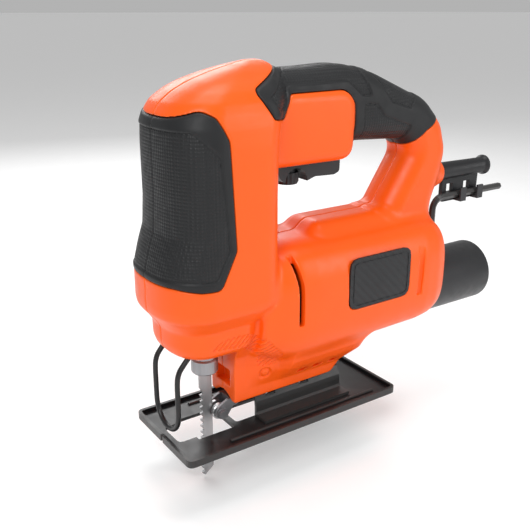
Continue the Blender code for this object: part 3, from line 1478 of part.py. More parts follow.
knurl = []
for step in range(32):
    radius = DIAL_RADIUS if step % 2 else DIAL_RADIUS - 0.45
    knurl.append((radius * math.cos(math.tau * step / 32), radius * math.sin(math.tau * step / 32)))
dial = prism("speed_dial", [(DIAL_X + x, y) for x, y in knurl], dial_low + 0.8, dial_high - 2.0, "z")
dial = join(
    dial,
    rod("dial_cap", DIAL_RADIUS - 0.7, dial_low, dial_low + 1.2, "z", (DIAL_X, 0.0), ROUND),
    rod("dial_neck", DIAL_RADIUS - 1.8, dial_high - 2.6, dial_high, "z", (DIAL_X, 0.0), ROUND),
)
dial = cut(dial, rod("dial_bore", 1.6 + RUN, dial_low + 2.0 - GAP, 200.0, "z", (DIAL_X, 0.0), 16))
finish(hinged(dial, DIAL_X, 0.0, dial_low), "speed_dial", BLACK_PLASTIC)


def spring(name, axis_point, start, stop, coil_radius, bar, turns, axis="z"):
    points = []
    per_turn = 8
    for step in range(turns * per_turn + 1):
        angle = math.tau * step / per_turn
        along = start + (stop - start) * step / (turns * per_turn)
        u, v = coil_radius * math.cos(angle), coil_radius * math.sin(angle)
        if axis == "z":
            points.append((axis_point[0] + u, axis_point[1] + v, along))
        else:
            points.append((axis_point[0] + u, along, axis_point[1] + v))
    finish(wire(name, points, bar, False, 0), name, STEEL)


spring("trigger_spring", (72.0, 0.0), 149.7, switch_low - 0.6, 2.7, 0.35, 4)

lock_seat = BULGE_HALF_WIDTH + 2.4
lock = turned(
    "lock_button",
    [
        (0.0, lock_seat),
        (LOCK_RADIUS - 1.0, lock_seat),
        (LOCK_RADIUS, lock_seat - 1.0),
        (LOCK_RADIUS, 15.1),
        (LOCK_RADIUS + 1.4, 15.1),
        (LOCK_RADIUS + 1.4, 13.7),
        (2.0, 13.7),
        (2.0, 12.2),
        (0.0, 12.2),
    ],
    "y",
    (LOCK_X, 0.0, LOCK_Z),
    18,
)
finish(lock, "lock_button", BLACK_PLASTIC)
spring("lock_spring", (LOCK_X, LOCK_Z), 9.5, 13.3, 3.2, 0.3, 3, "y")

finish(box("suppressor", (112.0, -5.5, 166.0), (132.0, 5.5, 178.0)), "suppressor_capacitor", CAPACITOR_BLUE)

# --- cord sleeve with its key clip, cord clamp and key --------------------------------------------
sleeve_profile = [
    (6.7, SLEEVE_END),
    (6.7, SLEEVE_END - 1.6),
    (5.2, SLEEVE_END - 3.6),
    (6.2, 168.0),
    (6.2, 159.0),
    (8.4, 159.0),
    (8.4, 156.5),
    (3.6, 156.5),
    (3.6, SLEEVE_END - 2.5),
    (4.2, SLEEVE_END),
]
sleeve = turned("cord_sleeve", sleeve_profile, "x", (0.0, 0.0, SLEEVE_Z), 16)
key_radius = 0.5 * KEY_FLATS / math.cos(math.radians(30.0))
plate = prism(
    "clip_plate",
    rounded(((180.5, 109.6), (214.4, 109.6, 2.0), (215.0, SLEEVE_Z - 4.4, 0.0), (180.5, SLEEVE_Z - 4.4, 0.0)), 1.0, 2),
    -1.5,
    1.5,
)
sleeve = join(sleeve, plate)
clip_cuts = []
clips = []
for x in (187.6, 204.2):
    clip_cuts.append(box("clip_window", (x - 3.1, -5.0, KEY_Z + 1.6), (x + 3.1, 5.0, KEY_Z + 7.4)))
for x in (195.0, 211.6):
    # A lip that curls under the key and up its outer side.
    reach = KEY_Y - key_radius - GAP
    lip = [
        (0.0, 109.6),
        (reach - 1.3, 109.6),
        (reach - 1.3, KEY_Z + 4.6),
        (reach, KEY_Z + 4.6),
        (reach, KEY_Z - key_radius - GAP),
        (0.0, KEY_Z - key_radius - GAP),
    ]
    clips.append(prism("clip", lip, x - 2.7, x + 2.7, "x"))
sleeve = join(cut(sleeve, *clip_cuts), *clips)
finish(sleeve, "cord_sleeve", BLACK_PLASTIC)

clamp = box("cord_clamp", (147.5, -8.5, SLEEVE_Z - 7.0), (153.5, 8.5, SLEEVE_Z - 3.6))
finish(clamp, "cord_clamp", BLACK_PLASTIC)

key_path = [(236.0, KEY_Y, KEY_Z)]
for step in range(7):
    angle = math.radians(15.0 * step)
    key_path.append((178.0 - 8.0 * math.sin(angle), KEY_Y, KEY_Z - 8.0 + 8.0 * math.cos(angle)))
key_path.append((170.0, KEY_Y, 89.0))
finish(wire("hex_key", key_path, key_radius, False, 1), "hex_key", BLACK_STEEL)

# --- dust outlet ----------------------------------------------------------------------------------
dust_wall = 2.2
outlet = turned(
    "dust_outlet",
    [
        (DUST_RADIUS, DUST_END),
        (DUST_RADIUS - 0.3, 140.0),
        (DUST_RADIUS - dust_wall - 0.3, 140.0),
        (DUST_RADIUS - dust_wall, DUST_END),
    ],
    "x",
    (0.0, 0.0, DUST_Z),
    24,
)
outlet = cut(outlet, barrel("shell_clear", -GAP))
spigot = turned(
    "spigot",
    [
        (DUST_RADIUS - 1.0, 172.0),
        (DUST_RADIUS - 1.0, 168.2),
        (SPIGOT_RADIUS, 168.2),
        (SPIGOT_RADIUS, 156.0),
        (SPIGOT_RADIUS - dust_wall, 156.0),
        (SPIGOT_RADIUS - dust_wall, 172.0),
    ],
    "x",
    (0.0, 0.0, DUST_Z),
    24,
)
finish(largest_island(join(outlet, spigot)), "dust_outlet", BLACK_PLASTIC)

# --- badges ---------------------------------------------------------------------------------------
badge_outline = rounded(
    ((BADGE[0], BADGE[2]), (BADGE[1], BADGE[2]), (BADGE[1], BADGE[3]), (BADGE[0], BADGE[3])), 6.0, 3
)
for label, side in (("left", -1.0), ("right", 1.0)):
    span = sorted((side * (BADGE_FACE - BADGE_THICKNESS), side * BADGE_FACE))
    badge = prism("badge", badge_outline, span[0], span[1])
    span = sorted((side * (BADGE_FACE - 0.25), side * (BADGE_FACE + 1.0)))
    frame = prism("frame", inset(badge_outline, 1.9), span[0], span[1])
    field = prism("field", inset(badge_outline, 3.1), span[0] - 1.0, span[1] + 1.0)
    badge = cut(badge, cut(frame, field))
    finish(badge, f"badge_{label}", BLACK_PLASTIC)

# --- housing screws -------------------------------------------------------------------------------
for index, (x, z) in enumerate(SCREWS):
    depth = SCREW_SEAT + GAP
    screw = turned(
        "screw",
        [
            (0.0, depth + 2.2),
            (SCREW_HEAD_RADIUS, depth + 2.2),
            (SCREW_HEAD_RADIUS, depth),
            (SCREW_RADIUS, depth),
            (SCREW_RADIUS, -8.0),
            (0.0, -8.0),
        ],
        "y",
        (x, 0.0, z),
        10,
    )
    drive = circle(1.5, 6, (x, z))
    screw = cut(screw, prism("drive", drive, depth + 0.9, depth + 9.0))
    finish(screw, f"housing_screw_{index + 1}", STEEL)
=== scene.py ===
"""Looks for a corded jigsaw: a moulded body and grips built from smooth fields, and detailed finishes."""

import json
import math

import bmesh
import bpy
import numpy as np
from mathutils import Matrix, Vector


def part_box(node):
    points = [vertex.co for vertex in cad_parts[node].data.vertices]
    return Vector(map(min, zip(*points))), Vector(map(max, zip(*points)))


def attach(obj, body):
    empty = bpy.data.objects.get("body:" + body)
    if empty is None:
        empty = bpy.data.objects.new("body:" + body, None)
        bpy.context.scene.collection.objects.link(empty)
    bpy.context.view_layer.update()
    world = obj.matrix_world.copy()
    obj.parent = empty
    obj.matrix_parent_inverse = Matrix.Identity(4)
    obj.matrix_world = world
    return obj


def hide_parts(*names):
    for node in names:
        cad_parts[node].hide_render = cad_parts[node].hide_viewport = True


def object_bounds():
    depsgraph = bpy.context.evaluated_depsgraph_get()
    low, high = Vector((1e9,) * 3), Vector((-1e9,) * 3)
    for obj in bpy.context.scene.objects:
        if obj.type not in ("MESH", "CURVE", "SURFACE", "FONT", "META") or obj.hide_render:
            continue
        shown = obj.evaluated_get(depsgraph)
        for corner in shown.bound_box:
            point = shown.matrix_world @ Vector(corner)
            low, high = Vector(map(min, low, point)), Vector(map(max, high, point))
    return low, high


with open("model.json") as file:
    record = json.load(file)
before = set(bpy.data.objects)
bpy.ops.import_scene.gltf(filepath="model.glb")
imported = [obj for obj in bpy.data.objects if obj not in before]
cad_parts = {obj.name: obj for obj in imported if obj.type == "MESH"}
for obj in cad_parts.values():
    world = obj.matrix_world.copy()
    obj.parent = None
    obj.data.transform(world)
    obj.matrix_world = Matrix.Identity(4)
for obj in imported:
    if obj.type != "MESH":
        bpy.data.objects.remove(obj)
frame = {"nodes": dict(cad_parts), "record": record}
cad_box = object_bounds()
nodes = frame["nodes"]
MM = 0.001
RIB_DEPTH = 0.0005
DOT_DEPTH = 0.0006


# --- materials ----------------------------------------------------------------------------------
def node_material(name, colour, roughness, metallic=0.0, grain=900.0, height=0.00004, **more):
    """A finish with colour and roughness that vary, a fine grain in relief, and convex edges tinted towards
    an edge colour as a painted highlight.
    """
    look = bpy.data.materials.new(name)
    look.use_nodes = True
    tree = look.node_tree
    shader = tree.nodes["Principled BSDF"]
    link = tree.links.new
    shader.inputs["Metallic"].default_value = metallic
    shader.inputs["IOR"].default_value = more.get("ior", 1.5)
    shader.inputs["Coat Weight"].default_value = more.get("coat", 0.0)
    shader.inputs["Coat Roughness"].default_value = 0.25
    shader.inputs["Specular IOR Level"].default_value = more.get("specular", 0.5)
    place = tree.nodes.new("ShaderNodeTexCoord")
    stretch = tree.nodes.new("ShaderNodeMapping")
    stretch.inputs["Scale"].default_value = more.get("stretch", (1.0, 1.0, 1.0))
    link(place.outputs["Object"], stretch.inputs["Vector"])

    def noise(scale, detail):
        made = tree.nodes.new("ShaderNodeTexNoise")
        made.inputs["Scale"].default_value = scale
        made.inputs["Detail"].default_value = detail
        link(stretch.outputs["Vector"], made.inputs["Vector"])
        return made.outputs["Fac"]

    def ranged(source, low, high, from_low=0.3, from_high=0.7):
        made = tree.nodes.new("ShaderNodeMapRange")
        made.inputs["From Min"].default_value = from_low
        made.inputs["From Max"].default_value = from_high
        made.inputs["To Min"].default_value = low
        made.inputs["To Max"].default_value = high
        link(source, made.inputs["Value"])
        return made.outputs["Result"]

    def mixed(factor, first, second):
        made = tree.nodes.new("ShaderNodeMix")
        made.data_type = "RGBA"
        link(factor, made.inputs["Factor"])
        for socket, value in ((made.inputs["A"], first), (made.inputs["B"], second)):
            if isinstance(value, bpy.types.NodeSocket):
                link(value, socket)
            else:
                socket.default_value = (*value, 1.0)
        return made.outputs["Result"]

    vary = more.get("vary", 0.06)
    darker = [c * (1.0 - vary) for c in colour]
    lighter = [min(1.0, c * (1.0 + vary)) for c in colour]
    tint = mixed(ranged(noise(more.get("patch", 45.0), 4.0), 0.0, 1.0), darker, lighter)
    # Painted highlight: convex edges, found by their pointiness, are tinted towards the paler edge colour.
    if "edge" in more:
        geometry = tree.nodes.new("ShaderNodeNewGeometry")
        painted_edge_highlight = ranged(geometry.outputs["Pointiness"], 0.0, more.get("edge_share", 0.5), 0.52, 0.62)
        tint = mixed(painted_edge_highlight, tint, more["edge"])
    link(tint, shader.inputs["Base Color"])
    spread = more.get("spread", 0.05)
    smudges = noise(more.get("smudge", 160.0), 5.0)
    link(ranged(smudges, roughness - spread, roughness + spread), shader.inputs["Roughness"])
    bump = tree.nodes.new("ShaderNodeBump")
    bump.inputs["Strength"].default_value = more.get("strength", 0.35)
    bump.inputs["Distance"].default_value = height
    link(noise(grain, 2.0), bump.inputs["Height"])
    relief = bump.outputs["Normal"]
    if "ribs" in more:
        bands = tree.nodes.new("ShaderNodeTexWave")
        bands.bands_direction = "DIAGONAL"
        bands.inputs["Scale"].default_value = more["ribs"]
        link(place.outputs["Object"], bands.inputs["Vector"])
        ribbed = tree.nodes.new("ShaderNodeBump")
        ribbed.inputs["Strength"].default_value = 0.8
        ribbed.inputs["Distance"].default_value = RIB_DEPTH
        link(bands.outputs["Fac"], ribbed.inputs["Height"])
        link(relief, ribbed.inputs["Normal"])
        relief = ribbed.outputs["Normal"]
    if "dots" in more:
        cells = tree.nodes.new("ShaderNodeTexVoronoi")
        cells.inputs["Scale"].default_value = more["dots"]
        cells.inputs["Randomness"].default_value = 0.0
        link(place.outputs["Object"], cells.inputs["Vector"])
        panel = tree.nodes.new("ShaderNodeAttribute")
        panel.attribute_name = "panel"
        raised = tree.nodes.new("ShaderNodeMath")
        raised.operation = "MULTIPLY"
        link(ranged(cells.outputs["Distance"], 1.0, 0.0, 0.25, 0.62), raised.inputs[0])
        link(panel.outputs["Fac"], raised.inputs[1])
        second = tree.nodes.new("ShaderNodeBump")
        second.inputs["Strength"].default_value = 0.45
        second.inputs["Distance"].default_value = DOT_DEPTH
        link(raised.outputs["Value"], second.inputs["Height"])
        link(relief, second.inputs["Normal"])
        relief = second.outputs["Normal"]
    link(relief, shader.inputs["Normal"])
    return look


LOOKS = {
    "housing_orange": node_material(
        "satin_orange", (0.9, 0.1, 0.003), 0.36, grain=2200.0, vary=0.03, edge=(1.0, 0.23, 0.05),
        edge_share=0.4, strength=0.25, specular=0.32,
    ),
    "grip_rubber": node_material(
        "moulded_rubber", (0.012, 0.0125, 0.0135), 0.5, grain=2600.0, vary=0.12,
        edge=(0.05, 0.05, 0.052), dots=560.0, spread=0.07, specular=0.3,
    ),
    "black_plastic": node_material(
        "black_nylon", (0.014, 0.0145, 0.016), 0.4, grain=2000.0, vary=0.12,
        edge=(0.045, 0.045, 0.048), spread=0.07, specular=0.3,
    ),
    "black_steel": node_material(
        "black_lacquer", (0.007, 0.0072, 0.008), 0.34, grain=1400.0, vary=0.15,
        edge=(0.06, 0.058, 0.056), specular=0.35, coat=0.05,
    ),
    "steel": node_material(
        "ground_steel", (0.4, 0.4, 0.41), 0.34, 1.0, grain=900.0, stretch=(1.0, 1.0, 6.0),
        edge=(0.8, 0.8, 0.82),
    ),
    "zinc": node_material(
        "zinc_casting", (0.3, 0.3, 0.31), 0.45, 1.0, grain=700.0, height=0.0001, vary=0.12,
        edge=(0.5, 0.5, 0.52), strength=0.5,
    ),
    "blade_steel": node_material(
        "blade_steel", (0.3, 0.3, 0.3), 0.4, 1.0, grain=500.0, stretch=(5.0, 1.0, 1.0), vary=0.15,
        edge=(0.5, 0.5, 0.52),
    ),
    "gear_steel": node_material("hard_steel", (0.4, 0.4, 0.41), 0.32, 1.0, vary=0.1, edge=(0.7, 0.7, 0.7)),
    "copper": node_material("enamelled_copper", (0.6, 0.2, 0.07), 0.35, 0.9, vary=0.15),
    "brass": node_material("brass", (0.7, 0.47, 0.17), 0.34, 1.0, vary=0.08),
    "carbon": node_material("carbon", (0.03, 0.03, 0.032), 0.6, vary=0.15),
    "lamination": node_material(
        "laminations", (0.28, 0.28, 0.3), 0.45, 0.9, stretch=(12.0, 1.0, 1.0), height=0.0002,
    ),
    "fan_plastic": node_material("fan_nylon", (0.03, 0.03, 0.032), 0.5, vary=0.1),
    "capacitor_blue": node_material("capacitor_resin", (0.03, 0.1, 0.36), 0.35, vary=0.1),
}
plate = node_material(
    "ribbed_plate", (0.012, 0.0125, 0.014), 0.42, grain=2000.0, vary=0.12, specular=0.35,
    ribs=110.0,
)
slot_of = {part["node"]: part["material_slot"] for part in frame["record"]["subparts"]}
for name, piece in nodes.items():
    piece.data.materials.clear()
    piece.data.materials.append(plate if name.startswith("badge") else LOOKS[slot_of[name]])


def in_mm(box):
    """The two corners of a box in metres, in millimetres."""
    return [corner / MM for corner in box]


# --- outlines and fields, in millimetres ---------------------------------------------------------
def rounded(corners, radius, steps=6):
    """The outline with each corner replaced by an arc. A corner may carry its own radius."""
    outline = []
    for index, corner in enumerate(corners):
        here = Vector(corner[:2])
        size = corner[2] if len(corner) > 2 else radius
        back = Vector(corners[index - 1][:2]) - here
        ahead = Vector(corners[(index + 1) % len(corners)][:2]) - here
        if size <= 0.0:
            outline.append(tuple(here))
            continue
        reach = min(size / math.tan(back.angle(ahead) / 2.0), 0.49 * back.length, 0.49 * ahead.length)
        start = here + back.normalized() * reach
        end = here + ahead.normalized() * reach
        for step in range(steps + 1):
            t = step / steps
            outline.append(tuple(start * (1 - t) ** 2 + here * 2 * t * (1 - t) + end * t**2))
    return outline


STEP = 0.62
X = np.arange(-43.0, 184.0, STEP, dtype=np.float32)
Y = np.arange(-1.5 * STEP, 39.0, STEP, dtype=np.float32)
Z = np.arange(12.0, 212.0, STEP, dtype=np.float32)
x = X[:, None, None]
y = Y[None, :, None]
z = Z[None, None, :]
across = np.abs(y)


def region(outline):
    """Signed distance from an outline in (x, z), negative inside, as a grid one layer deep."""
    px, pz = np.meshgrid(X, Z, indexing="ij")
    best = np.full(px.shape, 1e9, np.float32)
    inside = np.zeros(px.shape, bool)
    for (ax, az), (bx, bz) in zip(outline, outline[1:] + outline[:1]):
        ex, ez = bx - ax, bz - az
        length = ex * ex + ez * ez
        if length < 1e-9:
            continue
        t = np.clip(((px - ax) * ex + (pz - az) * ez) / length, 0.0, 1.0)
        best = np.minimum(best, np.hypot(px - ax - t * ex, pz - az - t * ez))
        if az != bz:
            inside ^= ((az > pz) != (bz > pz)) & (px < ax + ex * (pz - az) / ez)
    return np.where(inside, -best, best)[:, None, :]


def blended(a, b, k):
    """The union of two fields with a fillet of about k."""
    h = np.clip(0.5 + 0.5 * (b - a) / k, 0.0, 1.0)
    return b + (a - b) * h - k * h * (1.0 - h)


def carved(a, b, k):
    """The overlap of two fields with its edge rounded by about k."""
    return -blended(-a, -b, k)


def without(a, b, k=0.5):
    return carved(a, -b, k)


def cushioned(flat, half_width, edge):
    """A flat region made half_width deep each side, with its edges rounded by a radius."""
    u = flat + edge
    v = across - (half_width - edge)
    return np.hypot(np.maximum(u, 0.0), np.maximum(v, 0.0)) + np.minimum(np.maximum(u, v), 0.0) - edge


def eased(levels, places, column, spread):
    """One measure along the body, between its stated sections, with the corners eased."""
    fine_step = 0.25
    fine = np.arange(places[0] - 20.0, places[-1] + 20.0, fine_step)
    value = np.interp(fine, [level[0] for level in levels], [level[column] for level in levels])
    reach = np.arange(-4.0 * spread, 4.0 * spread + 0.1, fine_step)
    weight = np.exp(-0.5 * (reach / spread) ** 2)
    padded = np.pad(value, len(reach) // 2, mode="edge")
    smooth = np.convolve(padded, weight / weight.sum(), "valid")[: len(fine)]
    return np.interp(places, fine, smooth).astype(np.float32)


# Horizontal sections of the head: height, front, rear, share of the half width.
HEAD = (
    (50.0, -17.0, 13.0, 0.46),
    (53.2, -21.0, 14.0, 0.54),
    (54.6, -25.0, 16.0, 0.64),
    (57.5, -28.5, 17.0, 0.71),
    (62.0, -29.9, 18.0, 0.74),
    (71.0, -30.0, 19.0, 0.76),
    (76.0, -33.0, 22.0, 0.87),
    (81.0, -37.2, 26.0, 0.98),
    (85.0, -37.7, 28.0, 1.0),
    (104.0, -37.5, 28.0, 1.0),
    (114.0, -34.8, 28.0, 1.0),
    (124.0, -31.4, 28.0, 1.0),
    (140.0, -30.3, 28.0, 1.0),
    (168.0, -30.3, 28.5, 1.0),
    (178.0, -30.0, 30.0, 0.98),
    (184.0, -28.1, 32.0, 0.925),
    (189.5, -24.5, 34.0, 0.85),
    (194.5, -17.5, 35.5, 0.74),
    (198.5, -9.0, 36.5, 0.62),
    (202.5, 3.5, 37.0, 0.45),
    (205.4, 15.0, 36.5, 0.27),
    (207.4, 25.0, 34.0, 0.1),
    (212.0, 27.0, 33.0, 0.04),
)
HEAD_HALF_WIDTH = 33.0
NOSE_POWER = 2.5
front, rear, share = (eased(HEAD, Z, column, 0.9)[None, None, :] for column in (1, 2, 3))
wide = share * HEAD_HALF_WIDTH
depth = np.minimum(np.minimum(26.0, 0.8 * wide), 0.55 * (rear - front))
corner = np.minimum(np.minimum(11.0, 0.6 * wide), 0.3 * (rear - front))
forward = np.clip(front + depth - x, 0.0, None) / depth
nose = (forward**NOSE_POWER + (across / wide) ** NOSE_POWER) ** (1 / NOSE_POWER)
nose = (nose - 1.0) * np.minimum(wide, 28.0)
past_rear = x - (rear - corner)
past_side = across - (wide - corner)
head_back = np.hypot(np.maximum(past_rear, 0.0), np.maximum(past_side, 0.0))
head_back = head_back + np.minimum(np.maximum(past_rear, past_side), 0.0) - corner
head = np.maximum(nose, head_back)
head = carved(carved(head, 53.0 - z, 3.0), z - 207.2, 3.0)

# Sections across the motor barrel: place, share of the half width, bottom, top.
BARREL = (
    (14.0, 0.8, 46.0, 101.0),
    (20.0, 0.84, 45.0, 103.0),
    (32.0, 0.94, 40.0, 108.5),
    (42.0, 0.985, 38.0, 110.3),
    (52.0, 1.0, 37.6, 110.6),
    (138.0, 1.0, 39.2, 110.2),
    (148.0, 0.965, 40.2, 109.4),
    (156.0, 0.88, 42.6, 106.6),
    (162.0, 0.72, 46.0, 101.5),
    (166.0, 0.5, 51.0, 95.0),
    (170.0, 0.3, 58.0, 88.0),
)
BARREL_HALF_WIDTH = 34.5
BARREL_POWER = 3.2
share, under, over = (eased(BARREL, X, column, 1.5)[:, None, None] for column in (1, 2, 3))
sideways = np.abs(across / (share * BARREL_HALF_WIDTH))
upward = np.abs((z - 0.5 * (under + over)) / (0.5 * (over - under)))
barrel = (sideways**BARREL_POWER + upward**BARREL_POWER) ** (1 / BARREL_POWER)
barrel = (barrel - 1.0) * 33.0
barrel = carved(carved(barrel, x - 165.0, 5.0), 18.0 - x, 3.0)

HANDLE = rounded(
    (
        (18.0, 202.6, 14.0), (58.0, 203.4, 60.0), (84.0, 204.6, 60.0), (108.0, 198.6, 60.0),
        (150.0, 181.0, 30.0),
        (165.0, 166.0, 20.0), (170.8, 148.0, 22.0), (167.0, 133.0, 20.0), (160.5, 114.0, 20.0),
        (162.5, 78.0, 16.0),
        (106.0, 78.0, 16.0), (112.0, 116.6, 0.0), (117.5, 117.2, 12.0), (138.8, 149.0, 10.0),
        (134.0, 157.2, 10.0),
        (112.0, 158.5, 8.0), (86.0, 160.0, 8.0), (18.0, 160.0, 16.0),
    ),
    8.0,
)
BULGE = rounded(((18.0, 152.0, 0.0), (87.0, 151.6), (88.0, 191.5, 13.0), (18.0, 192.0, 0.0)), 10.0)
CREST = rounded(((54.0, 94.0), (62.5, 116.6, 9.0), (122.0, 116.6, 9.0), (134.0, 94.0)), 8.0)
handle = cushioned(region(HANDLE), 16.5, 13.0)
bulge = cushioned(region(BULGE), 20.0, 6.0)
crest = cushioned(region(CREST), 17.0, 9.0)

# The faceted foot: height, rear, half width at the front, full half width.
FOOT = (
    (17.0, 87.5, 13.0, 13.0),
    (24.0, 94.0, 13.0, 13.6),
    (33.0, 103.5, 13.0, 21.3),
    (38.0, 104.0, 13.0, 24.1),
    (46.0, 110.0, 14.0, 26.9),
    (58.0, 112.0, 20.0, 29.6),
    (70.0, 112.0, 22.0, 30.6),
)
foot_rear, near, full = (eased(FOOT, Z, column, 0.4)[None, None, :] for column in (1, 2, 3))
widened = 0.5 * np.clip((x - 15.0) / 17.0, 0.0, 1.0) + 0.5 * np.clip((x - 35.5) / 6.0, 0.0, 1.0)
foot = np.maximum(np.maximum(across - (near + (full - near) * widened), 8.0 - x), z - 70.0)
foot = carved(foot, (x - foot_rear + 9.0) * 0.6 + (across - full) * 0.8, 1.5)
foot = carved(carved(foot, x - foot_rear, 1.5), 17.0 - z, 1.0)

# The cord's boss at the rear, which narrows towards its end.
boss_radius = np.interp(X, (155.0, 168.0, 173.5, 176.0), (13.0, 10.2, 8.6, 6.5))
boss_radius = boss_radius.astype(np.float32)[:, None, None]
boss = carved(carved(np.hypot(across, z - 131.0) - boss_radius, x - 176.0, 1.5), 155.0 - x, 1.0)

body = blended(blended(head, handle, 7.0), blended(head, bulge, 9.0), 2.0)
body = blended(body, blended(barrel, crest, 5.0), 5.0)
body = blended(blended(body, foot, 2.5), boss, 4.0)
del nose, forward, head_back, past_rear, past_side, head, sideways, upward
del barrel, handle, bulge, crest, foot, widened, boss
# Divided by its own slope, the field reads as a distance near the surface.
slope = np.sqrt(sum(part**2 for part in np.gradient(body, STEP)))
body = body / np.clip(slope, 0.4, 4.0)
del slope

FRONT_GRIP = rounded(
    (
        (-48.0, 182.0, 0.0), (-31.0, 182.0), (-17.0, 187.0, 6.0), (-10.5, 183.5, 5.0), (-4.8, 172.5, 6.0),
        (-1.6, 117.0, 6.0), (-11.0, 97.6, 5.0), (-22.0, 98.0), (-33.0, 100.0), (-48.0, 100.0, 0.0),
    ),
    4.0,
)
HANDLE_GRIP = rounded(
    (
        (41.0, 220.0, 0.0), (40.0, 205.5), (14.5, 194.5, 3.0), (22.5, 180.5, 2.0), (36.0, 178.0, 2.0),
        (41.5, 190.6, 4.0), (80.0, 190.8, 9.0), (87.5, 183.0, 4.0), (88.6, 166.0, 4.0), (88.6, 140.0, 0.0),
        (127.0, 140.0, 0.0), (133.0, 150.5, 2.0), (146.0, 162.5, 6.0), (163.5, 171.0, 4.0),
        (180.0, 180.0, 0.0),
        (180.0, 220.0, 0.0),
    ),
    4.0,
)
FRONT_PANEL = rounded(
    (
        (-60.0, 177.5, 0.0), (-22.0, 177.5), (-10.0, 165.5), (-5.0, 117.5), (-13.0, 102.5),
        (-60.0, 104.5, 0.0),
    ),
    3.0,
)
HANDLE_PANELS = (
    (
        (45.0, 240.0, 0.0), (45.5, 204.0, 1.0), (31.0, 196.0, 2.0), (22.0, 190.8, 1.0), (27.5, 184.0, 1.5),
        (36.0, 183.4, 1.5), (41.5, 194.6, 3.0), (82.0, 195.0, 6.0), (93.0, 186.4, 3.0), (100.5, 185.5, 2.0),
        (94.0, 204.0, 1.0), (94.0, 240.0, 0.0),
    ),
    (
        (99.5, 240.0, 0.0), (100.8, 201.0, 1.0), (116.0, 181.2, 2.0), (131.0, 176.8, 2.0),
        (141.0, 183.0, 2.0),
        (150.0, 240.0, 0.0),
    ),
    (
        (95.2, 183.0, 2.0), (104.8, 181.6, 2.0), (110.6, 174.6, 2.0), (133.0, 167.0, 2.0),
        (131.8, 158.6, 3.0),
        (128.0, 130.0, 0.0), (94.0, 130.0, 0.0),
    ),
)
front_edge = region(FRONT_GRIP)
handle_edge = region(HANDLE_GRIP)
panels = {
    "front": region(FRONT_PANEL),
    "handle": np.minimum.reduce([region(rounded(outline, 2.0)) for outline in HANDLE_PANELS]),
}


# --- from a field to a mesh -----------------------------------------------------------------------
CORNERS = [(a, b, c) for a in (0, 1) for b in (0, 1) for c in (0, 1)]
EDGES = [
    (p, q) for p in CORNERS for q in CORNERS if sum(q) - sum(p) == 1 and all(i <= j for i, j in zip(p, q))
]


def sampled(field, points):
    """The field at points given in grid steps."""
    top = np.array(field.shape) - 1.001
    points = np.clip(points, 0.0, top)
    base = points.astype(np.int32)
    t = points - base
    total = 0.0
    for a, b, c in CORNERS:
        weight = np.abs(1 - a - t[:, 0]) * np.abs(1 - b - t[:, 1]) * np.abs(1 - c - t[:, 2])
        total = total + weight * field[base[:, 0] + a, base[:, 1] + b, base[:, 2] + c]
    return total


def surface(field, pulls=2):
    """The field's zero surface as points in millimetres and four-sided faces."""
    solid = field < 0.0
    nx, ny, nz = (size - 1 for size in solid.shape)
    count = sum(solid[a : a + nx, b : b + ny, c : c + nz].astype(np.int8) for a, b, c in CORNERS)
    cells = np.argwhere((count > 0) & (count < 8)).astype(np.int32)
    index = np.full(count.shape, -1, np.int32)
    index[tuple(cells.T)] = np.arange(len(cells))
    total = np.zeros((len(cells), 3), np.float64)
    hits = np.zeros(len(cells))
    for p, q in EDGES:
        a = field[tuple((cells + p).T)].astype(np.float64)
        b = field[tuple((cells + q).T)].astype(np.float64)
        crossed = (a < 0.0) != (b < 0.0)
        t = np.where(crossed, a / np.where(crossed, a - b, 1.0), 0.0)
        total += crossed[:, None] * (np.array(p) + t[:, None] * (np.array(q) - np.array(p)))
        hits += crossed
    points = cells + total / hits[:, None]
    for _ in range(pulls):
        value = sampled(field, points)
        rises = [sampled(field, points + d) - sampled(field, points - d) for d in 0.5 * np.eye(3)]
        slope = np.stack(rises, 1)
        move = value[:, None] * slope / np.maximum((slope**2).sum(1), 0.05)[:, None]
        points -= np.clip(move, -0.4, 0.4)
    faces = []
    for axis in range(3):
        one, two = [other for other in range(3) if other != axis]
        lower = np.take(solid, range(solid.shape[axis] - 1), axis)
        upper = np.take(solid, range(1, solid.shape[axis]), axis)
        for found, flip in ((lower & ~upper, axis == 1), (~lower & upper, axis != 1)):
            spots = np.argwhere(found)
            spots = spots[(spots[:, one] > 0) & (spots[:, two] > 0)]
            spots = spots[(spots[:, one] < field.shape[one] - 1) & (spots[:, two] < field.shape[two] - 1)]
            ring = []
            for da, db in ((0, 0), (1, 0), (1, 1), (0, 1)):
                at = spots.copy()
                at[:, one] -= da
                at[:, two] -= db
                ring.append(index[tuple(at.T)])
            quads = np.stack(ring, 1)
            faces.append(quads[:, ::-1] if flip else quads)
    faces = np.concatenate(faces)
    return points * STEP + np.array((X[0], Y[0], Z[0])), faces[(faces >= 0).all(1)]


def sided(name, points, faces, side, look, node, values=None):
    """A mesh from one half's points, mirrored for the left, that stands for a CAD node."""
    points = points.copy()
    points[:, 1] *= side
    if side < 0:
        faces = faces[:, ::-1]
    mesh = bpy.data.meshes.new(name)
    mesh.from_pydata((points * MM).tolist(), [], faces.tolist())
    mesh.materials.append(LOOKS[look])
    mesh.polygons.foreach_set("use_smooth", np.ones(len(mesh.polygons), bool))
    if values is not None:
        mesh.attributes.new("panel", "FLOAT", "POINT").data.foreach_set("value", values.astype(np.float32))
    mesh.update()
    made = bpy.data.objects.new(name, mesh)
    bpy.context.scene.collection.objects.link(made)
    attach(made, "housing")
    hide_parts(node)
    return made


def flat_sample(flat, points):
    """A one-layer region's value at points in millimetres."""
    grid = np.stack([(points[:, 0] - X[0]) / STEP, np.zeros(len(points)), (points[:, 2] - Z[0]) / STEP], 1)
    return sampled(np.repeat(flat, 2, 1), grid)


